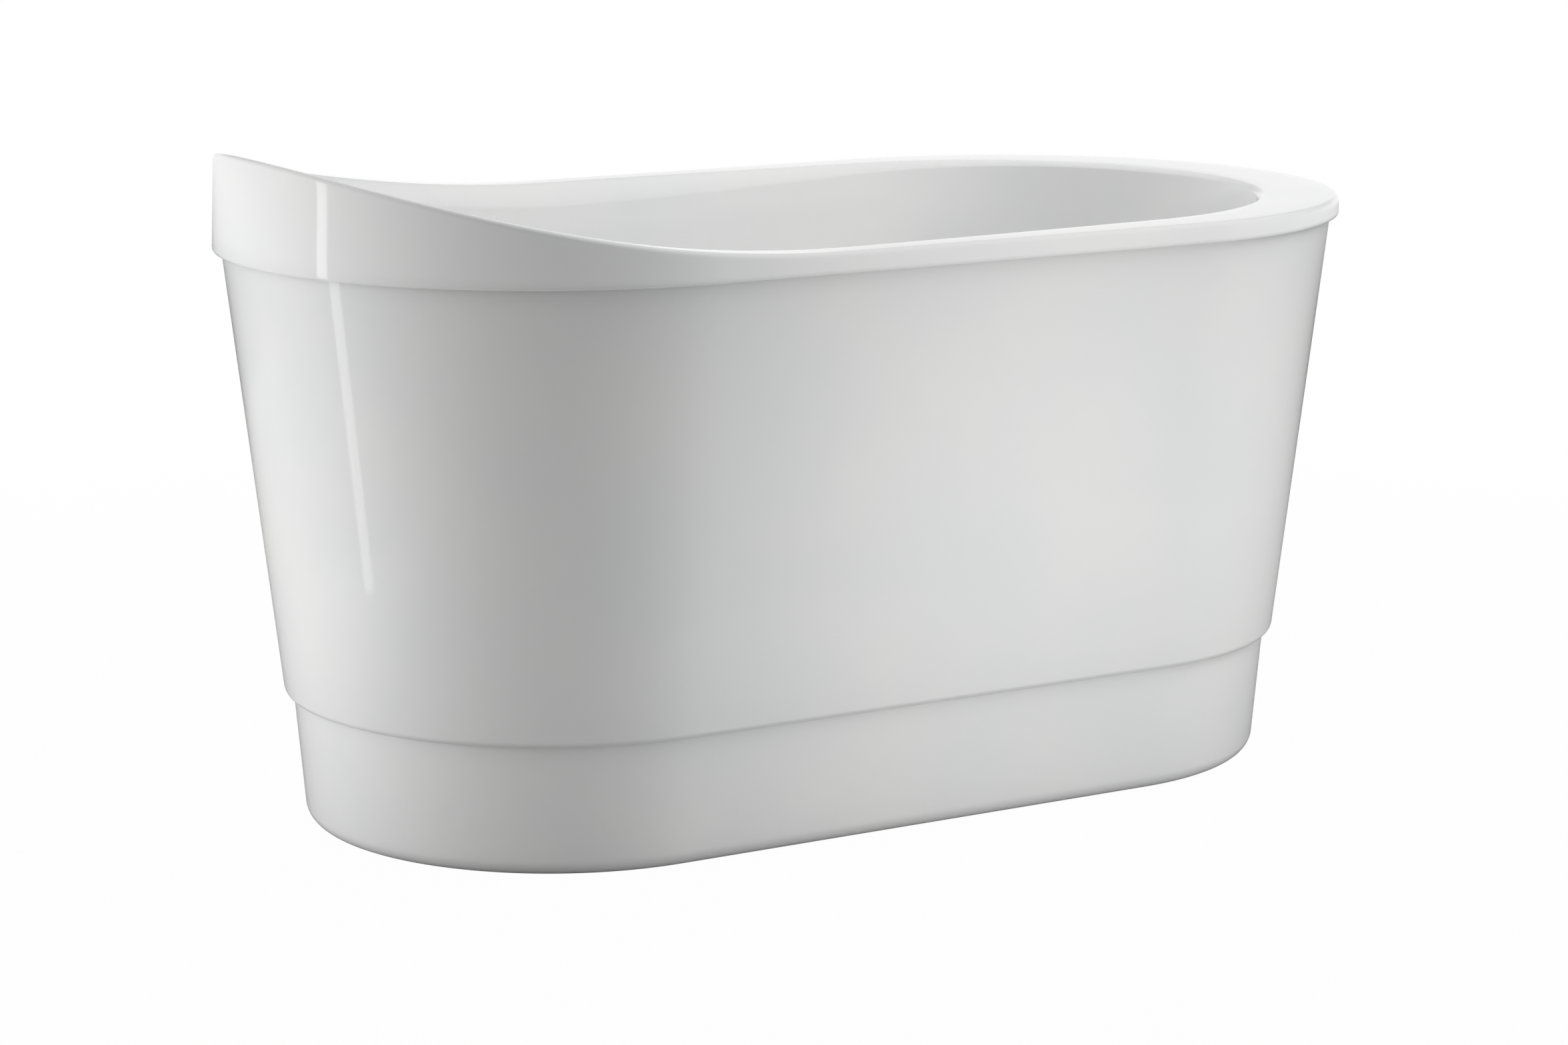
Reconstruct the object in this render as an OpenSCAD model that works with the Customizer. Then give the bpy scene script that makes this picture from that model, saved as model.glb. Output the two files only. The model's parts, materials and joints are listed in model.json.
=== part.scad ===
// Freestanding deep soaking tub: an inner acrylic shell with a raised back, a separate apron
// and plinth, a board and leg bars under the floor, levelling feet, and a plug-and-overflow
// waste. Millimetres. +Z is up, +X points to the foot end, and the origin is on the floor
// under the middle of the tub.

/* [Overall] */
// Length over the rim
tub_length = 1500; // [1450:10:1560]
// Width over the rim
tub_width = 826; // [806:2:850]
// Height of the level part of the rim above the floor
rim_height = 733; // [710:1:760]
// How far the rim climbs above its level part at the head end
back_rise = 103; // [60:1:120]
// Distance from the middle to where the rim starts to climb
back_start = 155; // [110:5:200]

/* [Tub shell] */
// Thickness of the reinforced shell
shell_t = 6; // [5:0.5:7]
// Thickness of the shell's floor at its edge
floor_t = 12; // [11:0.5:14]
// Height of the fascia, from the level rim down to its lower edge
fascia_drop = 25; // [22:1:30]
// Thickness of the fascia at its lower edge
fascia_t = 5; // [4.5:0.5:6]
// Draft of the fascia from upright, in degrees
fascia_draft = 2.2; // [0.5:0.1:3.5]
// Size of the rounding along the outer edge of the rim
rim_edge = 8; // [5:1:10]
// Size of the rounding along the lower edge of the fascia
lip_edge = 4; // [2:0.5:4]
// Width of the deck along the sides
deck_side = 75; // [72:1:80]
// Width of the deck at the foot end
deck_foot = 110; // [95:1:125]
// Width of the deck at the head end
deck_head = 65; // [60:1:75]
// Rounding from deck to wall at the foot end
roll_foot = 10; // [8:1:16]
// Rounding from deck to wall at the head end
roll_head = 40; // [30:1:44]
// How far each side wall leans in from rim to floor
lean_side = 62; // [56:1:70]
// How far the foot wall leans in from rim to floor
lean_foot = 95; // [70:1:120]
// How far the backrest leans in from rim to floor
lean_head = 320; // [280:5:350]
// Size of the blend between the walls and the floor
floor_blend = 110; // [80:2:120]
// Fall of the floor to the drain
floor_fall = 4; // [2:0.5:5]

/* [Apron] */
// How far the apron stands back from the fascia
apron_inset = 11; // [10:0.5:13]
// How far the apron tapers in from top to lower edge
apron_taper = 63; // [56:1:66]
// Thickness of the apron
apron_t = 5; // [4:0.5:6]
// Height of the apron's lower edge above the floor
apron_low = 163; // [150:1:175]
// Radius of the apron's lower edge
apron_edge = 9; // [7:1:11]
// Width of the apron's top flange
apron_flange = 21; // [17:1:24]

/* [Plinth] */
// How far the plinth stands back from the apron's lower edge
plinth_step = 10.5; // [9:0.5:12]
// How far the plinth tapers in from the apron down to the floor
plinth_taper = 14; // [10:1:16]
// Thickness of the plinth
plinth_t = 5; // [4:0.5:6]
// Gap between the plinth and the floor
plinth_clear = 2; // [1.5:0.5:4]
// Radius of the plinth's lower edge
plinth_edge = 22; // [16:1:24]
// Height that the plinth runs up behind the apron
plinth_tuck = 12; // [8:1:16]
// Width of the plinth's lower flange, from its outer face
plinth_flange = 50; // [46:1:54]

/* [Rim ring] */
// Thickness of the plywood ring under the deck
ring_t = 14; // [12:1:15]

/* [Board and leg bars] */
// Thickness of the plywood board under the floor
board_t = 18; // [15:1:21]
// How far the board's sides stand in from the foot of the walls
board_inset = 96; // [86:1:110]
// How far the board stops short of the foot of the walls at each end
board_short = 22; // [15:1:40]
// Height of the leg bars above the floor
bar_clear = 70; // [66:1:78]
// Width of a leg bar
bar_w = 40; // [36:1:44]
// Height of a leg bar
bar_h = 30; // [28:1:34]
// Thickness of a leg bar's steel
bar_t = 2.5; // [2:0.5:3]
// How far a leg bar stops short of the brackets at its ends
bar_short = 20; // [17:0.5:26]
// Distance of the head-end leg bar from the end of the straight sides
bar_head_inset = 87; // [66:1:130]
// Distance of the foot-end leg bar from the end of the straight sides
bar_foot_inset = 22; // [18:1:80]
// Place of the middle leg bar
bar_mid_x = 0; // [-40:5:10]

/* [Plinth brackets] */
// Thickness of a bracket
bracket_t = 3; // [2:0.5:4]
// Width of a bracket
bracket_w = 30; // [24:1:34]
// Length of a bracket's foot along the plinth's flange
bracket_foot = 20; // [16:1:22]

/* [Levelling feet] */
// Gap between a foot's pad and the plinth's lower flange
foot_gap = 5; // [3:0.5:12]
// Diameter of a foot's threaded stud
stud_d = 12; // [10:1:14]
// Diameter of a foot's pad
pad_d = 50; // [40:1:54]
// Height of a foot's pad
pad_h = 8; // [6:1:10]
// How far the stud stands above the leg bar's lower edge
stud_over = 16; // [14:1:16]
// Height of the nut welded under the bar
weld_nut_h = 10; // [8:0.5:11]
// Height of the lock nut
lock_nut_h = 7; // [5:0.5:8]

/* [Drain] */
// Distance of the drain and the overflow from the middle, towards the foot end
drain_x = 90; // [84:1:110]
// Radius of the hole in the tub's floor
drain_hole_r = 24; // [23.5:0.5:25]
// Depth of the recess that the drain's flange lies in
drain_recess = 4; // [3:0.5:4.5]
// Gap round the flange in its recess
recess_gap = 1; // [0.5:0.5:2]
// Radius of the drain's flange
drain_flange_r = 36; // [34:0.5:38]
// Thickness of the drain's flange
drain_flange_t = 3; // [2.5:0.5:4]
// Radius of the drain's threaded shank
shank_r = 22; // [21:0.5:22.5]
// Wall of the drain's shank
shank_t = 2.5; // [2:0.5:3]
// Length of the drain's shank below its flange
shank_len = 38; // [34:1:42]
// Thickness of the seals
seal_t = 1.5; // [1:0.5:2.5]
// How far the plug rises when it is let up
plug_lift = 9; // [6:1:12]
// Radius of the plug's cap
plug_r = 31; // [28:1:32]
// Height of the plug's cap
plug_h = 6; // [5:0.5:8]
// Outer radius of the plug's sprung cartridge
barrel_r = 9; // [8:0.5:10]
// Outer radius of the hub that holds the cartridge
hub_r = 13; // [12:0.5:14]
// Height of the hub
hub_h = 6; // [5:0.5:8]
// Depth of the hub's lower face below the flange
hub_drop = 26; // [24:1:28]
// Radius of the plug's stem
stem_r = 3.5; // [3:0.5:4]
// Length of the spring at rest
spring_h = 12; // [11:0.5:13]

/* [Waste pipework] */
// Outer radius of the overflow pipe
pipe_r = 14; // [12:0.5:14.5]
// Wall of the pipes
pipe_t = 2; // [1.5:0.5:3]
// Outer radius of the outlet pipe
outlet_r = 20; // [18:0.5:21]
// Height of the outlet pipe's lower end above the floor
outlet_z = 8; // [5:1:12]
// Height of the pipe that runs under the tub
low_pipe_z = 74; // [70:1:76]
// Wall of the sockets
socket_t = 3.5; // [3:0.5:4]
// Wall of the slip nuts
nut_wall = 4; // [3:0.5:4.5]
// Length of a slip nut over its socket
nut_grip = 10; // [8:1:12]

/* [Overflow] */
// Depth of the overflow's centre below the rim
overflow_drop = 93; // [85:1:110]
// Radius of the hole in the tub's wall
overflow_hole_r = 26; // [25:0.5:27]
// Radius of the overflow's flanges
overflow_flange_r = 37; // [35:0.5:38]
// Radius of the overflow cover
cover_r = 39; // [37.5:0.5:42]
// How far the cover's face stands off the wall
cover_depth = 16; // [14:0.5:18]
// Width of the slot at the bottom of the cover
cover_slot = 30; // [26:1:40]

/* [Screws] */
// Radius of a screw's shank
screw_r = 2.5; // [2:0.25:3]
// Radius of a screw's head
screw_head_r = 5; // [4:0.5:5.5]
// Height of a screw's head
screw_head_h = 3; // [2:0.5:4]

/* [Fits] */
// Gap between nested parts that don't turn
loose_fit = 0.3; // [0.2:0.05:0.5]
// Radial gap of parts that slide in each other
running_fit = 0.1; // [0.05:0.01:0.1]

/* [Hidden] */
$fn = 96;

acrylic = "white";
plywood = "burlywood";
steel = "silver";
chrome = "gainsboro";
rubber = "dimgray";
plastic = "whitesmoke";

// Plan of the rim: straight sides between two half circles
half_length = tub_length / 2;
end_r = tub_width / 2;
end_x = half_length - end_r;

// Plan of the mouth of the tub, and of the foot of its walls
mouth_r = end_r - deck_side;
mouth_foot_x = half_length - deck_foot - mouth_r;
mouth_head_x = -(half_length - deck_head - mouth_r);
base_r = mouth_r - lean_side;
base_foot_x = half_length - deck_foot - lean_foot - base_r;
base_head_x = -(half_length - deck_head - lean_head - base_r);

// Heights, from the floor up
fascia_low = rim_height - fascia_drop;
board_z = bar_clear + bar_h;
floor_under = board_z + board_t;
floor_z = floor_under + floor_t;
seat_z = floor_z - floor_fall - drain_recess;
deck_under = rim_height - shell_t;
ring_z = deck_under - ring_t;
wall_drop = rim_height - floor_z;
wall_tilt = atan(lean_side / wall_drop);

// Where the rounding from deck to wall is at its smallest and at its largest, and the least
// rounding of its underside
roll_from = end_x * 0.6;
roll_to = -end_x * 0.77;
least_roll = 2;

// Recess for the drain's flange, and how much its side slopes
recess_r = drain_flange_r + recess_gap;
recess_draft = 1;

// How far cuts run past the faces that they open
past = 1;

// Steps of the shell's surface, round the plan and along the section
cap_steps = 36;
side_steps = 12;
lip_steps = 2;
edge_steps = 4;
roll_steps = 8;
blend_steps = 9;
under_steps = 5;

function mix(a, b, t) = a + (b - a) * t;
function unit(v) = v / norm(v);
function ease(t) = let (u = max(0, min(1, t))) u * u * (3 - 2 * u);

// Points of a smooth bend from a to b that leaves and arrives along the lines to the corner
function bend(a, corner, b, t) =
    (1 - t) * (1 - t) * a + 2 * t * (1 - t) * corner + t * t * b;
function curve(a, corner, b, steps) = [for (i = [0:steps]) bend(a, corner, b, i / steps)];

// Climb of the rim above its level part
function climb(x) =
    let (u = max(0, (-x - back_start) / (half_length - back_start))) back_rise * u * u;

// Rounding from deck to wall
function roll(x) = mix(roll_foot, roll_head, ease((roll_from - x) / (roll_from - roll_to)));

// Stations round the plan: [share of the way from head to foot, direction in degrees]
STATIONS = concat(
    [for (i = [0:cap_steps]) [1, -90 + 180 * i / cap_steps]],
    [for (i = [1:side_steps - 1]) [1 - i / side_steps, 90]],
    [for (i = [0:cap_steps]) [0, 90 + 180 * i / cap_steps]],
    [for (i = [1:side_steps - 1]) [i / side_steps, 270]]
);

// A point at a station of a long oval
function oval_point(s, head_x, foot_x, r, z) =
    [mix(head_x, foot_x, s[0]) + r * cos(s[1]), r * sin(s[1]), z];
function outward(s) = [cos(s[1]), sin(s[1]), 0];

// Corners of the shell's section at a station, before they are rounded
function rim_point(s, inset) =
    let (p = oval_point(s, -end_x, end_x, end_r, rim_height), top = rim_height + climb(p[0]))
    oval_point(s, -end_x, end_x, end_r - (top - fascia_low) * tan(fascia_draft) - inset, top);
function mouth_point(s) =
    let (p = oval_point(s, mouth_head_x, mouth_foot_x, mouth_r, rim_height))
    [p[0], p[1], rim_height + climb(p[0])];
function base_point(s) = oval_point(s, base_head_x, base_foot_x, base_r, floor_z);

// A point on a circle round the drain, on the same side as the station
function drain_point(s, r, z) =
    let (p = base_point(s), d = unit([p[0] - drain_x, p[1]]))
    [drain_x + r * d[0], r * d[1], z];

// The section's path at a station: up the fascia, over the rim, down the wall and along the
// floor to the drain, then back along the underside
function top_path(s) =
    let (
        lip_in = oval_point(s, -end_x, end_x, end_r - fascia_t, fascia_low),
        lip = oval_point(s, -end_x, end_x, end_r, fascia_low),
        rim = rim_point(s, 0),
        mouth = mouth_point(s),
        base = base_point(s),
        drain = drain_point(s, recess_r + recess_draft, floor_z - floor_fall),
        up = unit(rim - lip),
        in = unit(mouth - rim),
        down = unit(base - mouth),
        along = unit(drain - base),
        reach = roll(mouth[0])
    )
    concat(
        curve(mix(lip, lip_in, lip_edge / fascia_t), lip, lip + up * lip_edge, lip_steps),
        curve(rim - up * rim_edge, rim, rim + in * rim_edge, edge_steps),
        curve(mouth - in * reach, mouth, mouth + down * reach, roll_steps),
        curve(base - down * floor_blend, base, base + along * floor_blend, blend_steps),
        [drain, drain_point(s, recess_r, seat_z), drain_point(s, drain_hole_r, seat_z)]
    );
function under_path(s) =
    let (
        lip = oval_point(s, -end_x, end_x, end_r - fascia_t, fascia_low),
        rim = rim_point(s, fascia_t) - [0, 0, shell_t],
        mouth = mouth_point(s),
        base = base_point(s),
        fall = mouth[2] - base[2],
        mouth_u = mix(mouth, base, shell_t / fall) + outward(s) * shell_t,
        base_u = mix(mouth, base, 1 + floor_t / fall) + outward(s) * shell_t,
        in = unit(mouth_u - rim),
        down = unit(base_u - mouth_u),
        flat = drain_point(s, recess_r, floor_under),
        along = unit(flat - base_u),
        reach = max(least_roll, roll(mouth[0]) - shell_t),
        blend = floor_blend + shell_t
    )
    concat(
        [drain_point(s, drain_hole_r, floor_under), flat],
        curve(base_u + along * blend, base_u, base_u - down * blend, under_steps),
        curve(mouth_u + down * reach, mouth_u, mouth_u - in * reach, under_steps),
        [rim, lip]
    );

// A closed skin over sections that run round a ring
module ring_loft(sections) {
    n = len(sections);
    m = len(sections[0]);
    points = [for (section = sections) each section];
    faces = [
        for (i = [0:n - 1], j = [0:m - 1])
            let (i2 = (i + 1) % n, j2 = (j + 1) % m)
            [i * m + j, i * m + j2, i2 * m + j2, i2 * m + j]
    ];
    polyhedron(points = points, faces = faces, convexity = 8);
}

// A slab whose outline is a long oval
module oval_slab(head_x, foot_x, r, h) {
    for (x = [head_x, foot_x]) {
        translate([x, 0, 0]) cylinder(r = r, h = h);
    }
    translate([head_x, -r, 0]) cube([foot_x - head_x, 2 * r, h]);
}

// A wall with the given section, run round the plan of the rim
module oval_wall() {
    translate([end_x, 0, 0]) rotate([0, 0, -90]) rotate_extrude(angle = 180) children();
    translate([-end_x, 0, 0]) rotate([0, 0, 90]) rotate_extrude(angle = 180) children();
    for (side = [0, 1]) {
        mirror([0, side, 0]) translate([-end_x, 0, 0]) rotate([90, 0, 90])
            linear_extrude(2 * end_x) children();
    }
}

// Points of an arc in a section
arc_steps = 8;
function arc(cx, cz, r, from, to, steps) =
    [for (i = [0:steps]) let (a = mix(from, to, i / steps)) [cx + r * cos(a), cz + r * sin(a)]];

// Radii of the apron's and the plinth's outer faces at a height
apron_top = ring_z;
apron_slope = apron_taper / (fascia_low - apron_low);
function apron_r(z) = end_r - apron_inset - (fascia_low - z) * apron_slope;
plinth_slope = plinth_taper / apron_low;
function plinth_r(z) = apron_r(apron_low) - plinth_step - (apron_low - z) * plinth_slope;

// Half width of the tub's inside at a height on its straight sides, where the rim is level
function wall_y(z) = mouth_r - (rim_height - z) * lean_side / wall_drop;

// Places of the apron's screws: along the sides, then round the ends
ring_in_r = mouth_r + roll_head;
screw_line_r = (ring_in_r + apron_r(apron_top) - apron_t) / 2;
side_screw_x = [for (i = [-2:2]) i * end_x * 5 / 12];
end_screw_a = [-60, -30, 0, 30, 60];
blind_end = 3;
tip_gap = 1;
screw_end = 4;
APRON_SCREWS = concat(
    [for (x = side_screw_x, side = [-1, 1]) [x, side * screw_line_r]],
    [for (a = end_screw_a, end = [-1, 1])
        [end * (end_x + screw_line_r * cos(a)), screw_line_r * sin(a)]]
);

bar_head_x = -(end_x - bar_head_inset);
bar_foot_x = end_x - bar_foot_inset;
BAR_X = [bar_head_x, bar_mid_x, bar_foot_x];

// A screw with its head below and its shank up, its head's seat at z = 0
module screw_up(length) {
    translate([0, 0, -screw_head_h]) cylinder(r = screw_head_r, h = screw_head_h);
    cylinder(r = screw_r, h = length);
}

module tub_shell() {
    color(acrylic) difference() {
        ring_loft([for (s = STATIONS) concat(top_path(s), under_path(s))]);
        at_overflow() cylinder(r = overflow_hole_r, h = 2 * overflow_hole_r, center = true);
    }
}

// Plywood ring bonded under the deck; it stiffens the rim and carries the apron
module rim_ring() {
    color(plywood) difference() {
        translate([0, 0, ring_z])
            oval_slab(-end_x, end_x, apron_r(apron_top) - apron_t - loose_fit, ring_t);
        translate([0, 0, ring_z - past]) oval_slab(-end_x, end_x, ring_in_r, ring_t + 2 * past);
        for (p = APRON_SCREWS) {
            translate([p[0], p[1], ring_z - past])
                cylinder(r = screw_r + running_fit, h = ring_t - blind_end + past);
        }
    }
}

module apron() {
    edge_a = atan(apron_slope);
    edge_x = apron_r(apron_low + apron_edge) - apron_edge / cos(edge_a);
    lip_r = plinth_r(apron_low + apron_t) + loose_fit;
    flange_r = apron_r(apron_top) - apron_flange;
    color(acrylic) difference() {
        oval_wall() polygon(concat(
            [[flange_r, apron_top], [flange_r, apron_top - apron_t]],
            [[apron_r(apron_top - apron_t) - apron_t, apron_top - apron_t]],
            [[apron_r(apron_low + apron_t) - apron_t, apron_low + apron_t]],
            [[lip_r, apron_low + apron_t], [lip_r, apron_low]],
            arc(edge_x, apron_low + apron_edge, apron_edge, -90, -edge_a, arc_steps),
            [[apron_r(apron_top), apron_top]]
        ));
        for (p = APRON_SCREWS) {
            translate([p[0], p[1], apron_top - apron_t - past])
                cylinder(r = screw_r + running_fit, h = apron_t + 2 * past);
        }
    }
}

module apron_screws() {
    color(steel) for (p = APRON_SCREWS) {
        translate([p[0], p[1], apron_top - apron_t]) screw_up(apron_t + ring_t - blind_end - tip_gap);
    }
}

bracket_seat_r = plinth_r(plinth_clear + plinth_edge) - plinth_edge;
bracket_screw_y = bracket_seat_r - bracket_foot / 2;
bar_len = 2 * (bracket_seat_r - bar_short);
bracket_head_y = bar_len / 2 - bracket_foot;
flange_top = plinth_clear + plinth_t;
flange_in_r = plinth_r(plinth_clear) - plinth_flange;
foot_y = flange_in_r - foot_gap - pad_d / 2;

module plinth() {
    top = apron_low + plinth_tuck;
    edge_a = atan(plinth_slope);
    edge_x = plinth_r(plinth_clear + plinth_edge) - plinth_edge / cos(edge_a);
    edge_z = plinth_clear + plinth_edge;
    inner_r = plinth_edge - plinth_t;
    color(acrylic) difference() {
        oval_wall() polygon(concat(
            [[flange_in_r, flange_top], [flange_in_r, plinth_clear]],
            arc(edge_x, edge_z, plinth_edge, -90, -edge_a, arc_steps),
            [[plinth_r(top), top], [plinth_r(top) - plinth_t / cos(edge_a), top]],
            arc(edge_x, edge_z, inner_r, -edge_a, -90, arc_steps)
        ));
        at_brackets() translate([0, bracket_screw_y, 0])
            cylinder(r = screw_r + running_fit, h = flange_top + past);
    }
}

// Plywood board bonded under the floor, with holes for the waste and the bars' screws
board_half = base_r - board_inset;
board_foot_x = base_foot_x + base_r - board_short - board_half;
board_head_x = base_head_x - base_r + board_short + board_half;
tee_flange_r = drain_flange_r + 4;
tee_gap = 4;
board_screw_y = [for (i = [-2, -1, 1, 2]) i * board_half / 3];

module base_board() {
    color(plywood) difference() {
        translate([0, 0, board_z]) oval_slab(board_head_x, board_foot_x, board_half, board_t);
        translate([drain_x, 0, board_z - past])
            cylinder(r = tee_flange_r + tee_gap, h = board_t + 2 * past);
        at_board_screws() translate([0, 0, board_z - past])
            cylinder(r = screw_r + running_fit, h = board_t - blind_end + past);
    }
}

module at_board_screws() {
    for (x = BAR_X, y = board_screw_y) {
        translate([x, y, 0]) children();
    }
}

module board_screws() {
    color(steel) at_board_screws() translate([0, 0, board_z - bar_t])
        screw_up(bar_t + board_t - blind_end - tip_gap);
}

// A nut's radius over its corners, and the plate that backs it inside the bar
nut_corner_r = stud_d * 0.92;
nut_plate_t = 4;

// A pressed channel, open below, with a nut plate and a welded nut for each foot
module leg_bar(x) {
    color(steel) translate([x, 0, 0]) difference() {
        union() {
            difference() {
                translate([-bar_w / 2, -bar_len / 2, bar_clear]) cube([bar_w, bar_len, bar_h]);
                translate([-bar_w / 2 + bar_t, -bar_len / 2 - past, bar_clear - past])
                    cube([bar_w - 2 * bar_t, bar_len + 2 * past, bar_h - bar_t + past]);
            }
            for (side = [-1, 1]) {
                translate([-bar_w / 2 + bar_t, side * foot_y - bar_w / 2, bar_clear])
                    cube([bar_w - 2 * bar_t, bar_w, nut_plate_t]);
                translate([0, side * foot_y, bar_clear - weld_nut_h])
                    cylinder(r = nut_corner_r, h = weld_nut_h, $fn = 6);
            }
        }
        for (side = [-1, 1]) {
            translate([0, side * foot_y, bar_clear - weld_nut_h - past])
                cylinder(d = stud_d + 2 * running_fit, h = weld_nut_h + nut_plate_t + 2 * past);
            translate([0, side * bracket_head_y, board_z - bar_t - past])
                cylinder(r = screw_r + running_fit, h = bar_t + 2 * past);
        }
        for (y = board_screw_y) {
            translate([0, y, board_z - bar_t - past])
                cylinder(r = screw_r + running_fit, h = bar_t + 2 * past);
        }
    }
}
module leg_bar_head() { leg_bar(bar_head_x); }
module leg_bar_mid() { leg_bar(bar_mid_x); }
module leg_bar_foot() { leg_bar(bar_foot_x); }

module at_brackets() {
    for (x = BAR_X, side = [0, 1]) {
        translate([x, 0, 0]) mirror([0, side, 0]) children();
    }
}

// Cranked steel straps from the bars' ends down to the plinth's lower flange
module plinth_brackets() {
    head_len = bracket_seat_r - bracket_head_y + bracket_foot;
    color(steel) at_brackets() difference() {
        union() {
            translate([-bracket_w / 2, bracket_seat_r - head_len, board_z])
                cube([bracket_w, head_len, bracket_t]);
            translate([-bracket_w / 2, bracket_seat_r - bracket_t, flange_top])
                cube([bracket_w, bracket_t, board_z - flange_top + bracket_t]);
            translate([-bracket_w / 2, bracket_seat_r - bracket_foot, flange_top])
                cube([bracket_w, bracket_foot, bracket_t]);
        }
        for (p = [[bracket_head_y, board_z], [bracket_screw_y, flange_top]]) {
            translate([0, p[0], p[1] - past])
                cylinder(r = screw_r + running_fit, h = bracket_t + 2 * past);
        }
    }
}

module bracket_screws() {
    color(steel) at_brackets() {
        translate([0, bracket_head_y, board_z + bracket_t]) rotate([180, 0, 0])
            screw_up(bracket_t + bar_t + screw_end);
        translate([0, bracket_screw_y, flange_top + bracket_t]) rotate([180, 0, 0])
            screw_up(bracket_t + plinth_t);
    }
}

module foot_lock_nuts() {
    color(steel) for (x = BAR_X, side = [-1, 1]) {
        translate([x, side * foot_y, bar_clear - weld_nut_h - lock_nut_h]) difference() {
            cylinder(r = nut_corner_r, h = lock_nut_h, $fn = 6);
            translate([0, 0, -past]) cylinder(d = stud_d + 2 * running_fit, h = lock_nut_h + 2 * past);
        }
    }
}

// A stud with a dished plastic pad; feet 1 to 3 are on the near side, 4 to 6 on the far side
module levelling_foot(i) {
    x = BAR_X[(i - 1) % 3];
    y = i <= 3 ? -foot_y : foot_y;
    chamfer = 1.5;
    pad_r = pad_d / 2;
    edge_h = pad_h * 0.6;
    stud_r = stud_d / 2;
    stud_top = bar_clear + stud_over;
    neck_low_r = stud_r * 1.8;
    neck_r = stud_r * 1.6;
    neck_top = pad_h + stud_r;
    color(rubber) translate([x, y, 0]) rotate_extrude() polygon([
        [0, 0], [pad_r - chamfer, 0], [pad_r, chamfer], [pad_r, edge_h],
        [neck_low_r, pad_h], [neck_r, neck_top], [stud_r, neck_top],
        [stud_r, stud_top - chamfer], [stud_r - chamfer, stud_top], [0, stud_top]
    ]);
}

// Drain, from the top down
flange_bed_z = seat_z + seal_t;
flange_z = flange_bed_z + drain_flange_t;
throat_r = shank_r - shank_t;
hub_z = flange_z - hub_drop;
arm_t = 3;
barrel_wall = 1.8;
barrel_lid = 2;
barrel_rise = 13;
barrel_top = hub_z + hub_h + barrel_rise;
collar_h = 2;
over_lift = 7;
spring_z = barrel_top - barrel_lid - over_lift - plug_lift - collar_h - spring_h;
barrel_z = spring_z - barrel_lid;
plug_rest = 0.2;
plug_under = flange_z + plug_rest + seal_t;
seal_inset = 1;

module at_drain() {
    translate([drain_x, 0, 0]) children();
}

module drain_flange() {
    bevel_w = 1.5;
    bevel_h = 1;
    color(chrome) at_drain() difference() {
        union() {
            rotate_extrude() polygon([
                [throat_r, flange_bed_z - shank_len], [shank_r, flange_bed_z - shank_len],
                [shank_r, flange_bed_z], [drain_flange_r, flange_bed_z],
                [drain_flange_r, flange_z - bevel_h], [drain_flange_r - bevel_w, flange_z],
                [throat_r + shank_t, flange_z], [throat_r, flange_z - shank_t]
            ]);
            translate([0, 0, hub_z]) cylinder(r = hub_r, h = hub_h);
            for (a = [30, 150, 270]) {
                rotate([0, 0, a]) translate([0, -arm_t / 2, hub_z])
                    cube([throat_r + shank_t / 2, arm_t, hub_h]);
            }
        }
        translate([0, 0, hub_z - past]) cylinder(r = barrel_r + running_fit, h = hub_h + 2 * past);
    }
}

module flat_ring(inner_r, outer_r, h) {
    difference() {
        cylinder(r = outer_r, h = h);
        translate([0, 0, -past]) cylinder(r = inner_r, h = h + 2 * past);
    }
}

module drain_seal() {
    color(rubber) at_drain() translate([0, 0, seat_z])
        flat_ring(drain_hole_r, drain_flange_r - seal_inset, seal_t);
}

gasket_t = 2 * seal_t;
tee_top = floor_under - gasket_t;
tee_flange_t = 5;
tee_r = shank_r + 6;
tee_wall = 4;
tee_floor_t = 3;
tee_sump = 8;
tee_low = low_pipe_z - pipe_r - tee_sump;
socket_r = pipe_r + socket_t;
outlet_socket_r = outlet_r + socket_t;
tee_neck = 24;
tee_neck_y = tee_r + tee_neck;
pipe_stop = 2;
tail_socket = 14;
washer_t = 3;
nut_lip = 4;
nut_gap = 3;
nut_room = 4;

module drain_gasket() {
    color(rubber) at_drain() translate([0, 0, tee_top])
        flat_ring(drain_hole_r, tee_flange_r - seal_inset, gasket_t);
}

// The tee under the floor: the drain above, the overflow's pipe at the side, the outlet below
module waste_tee() {
    shank_end_gap = 2;
    shoulder = flange_bed_z - shank_len - shank_end_gap;
    color(plastic) at_drain() difference() {
        union() {
            translate([0, 0, tee_top - tee_flange_t]) cylinder(r = tee_flange_r, h = tee_flange_t);
            translate([0, 0, tee_low]) cylinder(r = tee_r, h = tee_top - tee_low);
            translate([0, 0, tee_low - tail_socket]) cylinder(r = outlet_socket_r, h = tail_socket + past);
            translate([0, 0, low_pipe_z]) rotate([90, 0, 0]) cylinder(r = socket_r, h = tee_neck_y);
        }
        translate([0, 0, shoulder]) cylinder(r = shank_r + loose_fit, h = tee_top - shoulder + past);
        translate([0, 0, tee_low + tee_floor_t])
            cylinder(r = tee_r - tee_wall, h = shoulder - tee_low);
        translate([0, 0, tee_low - tail_socket - past])
            cylinder(r = outlet_r + loose_fit, h = tail_socket + past);
        translate([0, 0, tee_low - past])
            cylinder(r = outlet_r - pipe_t, h = tee_floor_t + 2 * past);
        translate([0, -tee_r - pipe_stop, low_pipe_z]) rotate([90, 0, 0])
            cylinder(r = pipe_r + loose_fit, h = tee_neck_y);
        translate([0, 0, low_pipe_z]) rotate([90, 0, 0])
            cylinder(r = pipe_r - pipe_t, h = tee_neck_y + past);
    }
}

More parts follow.
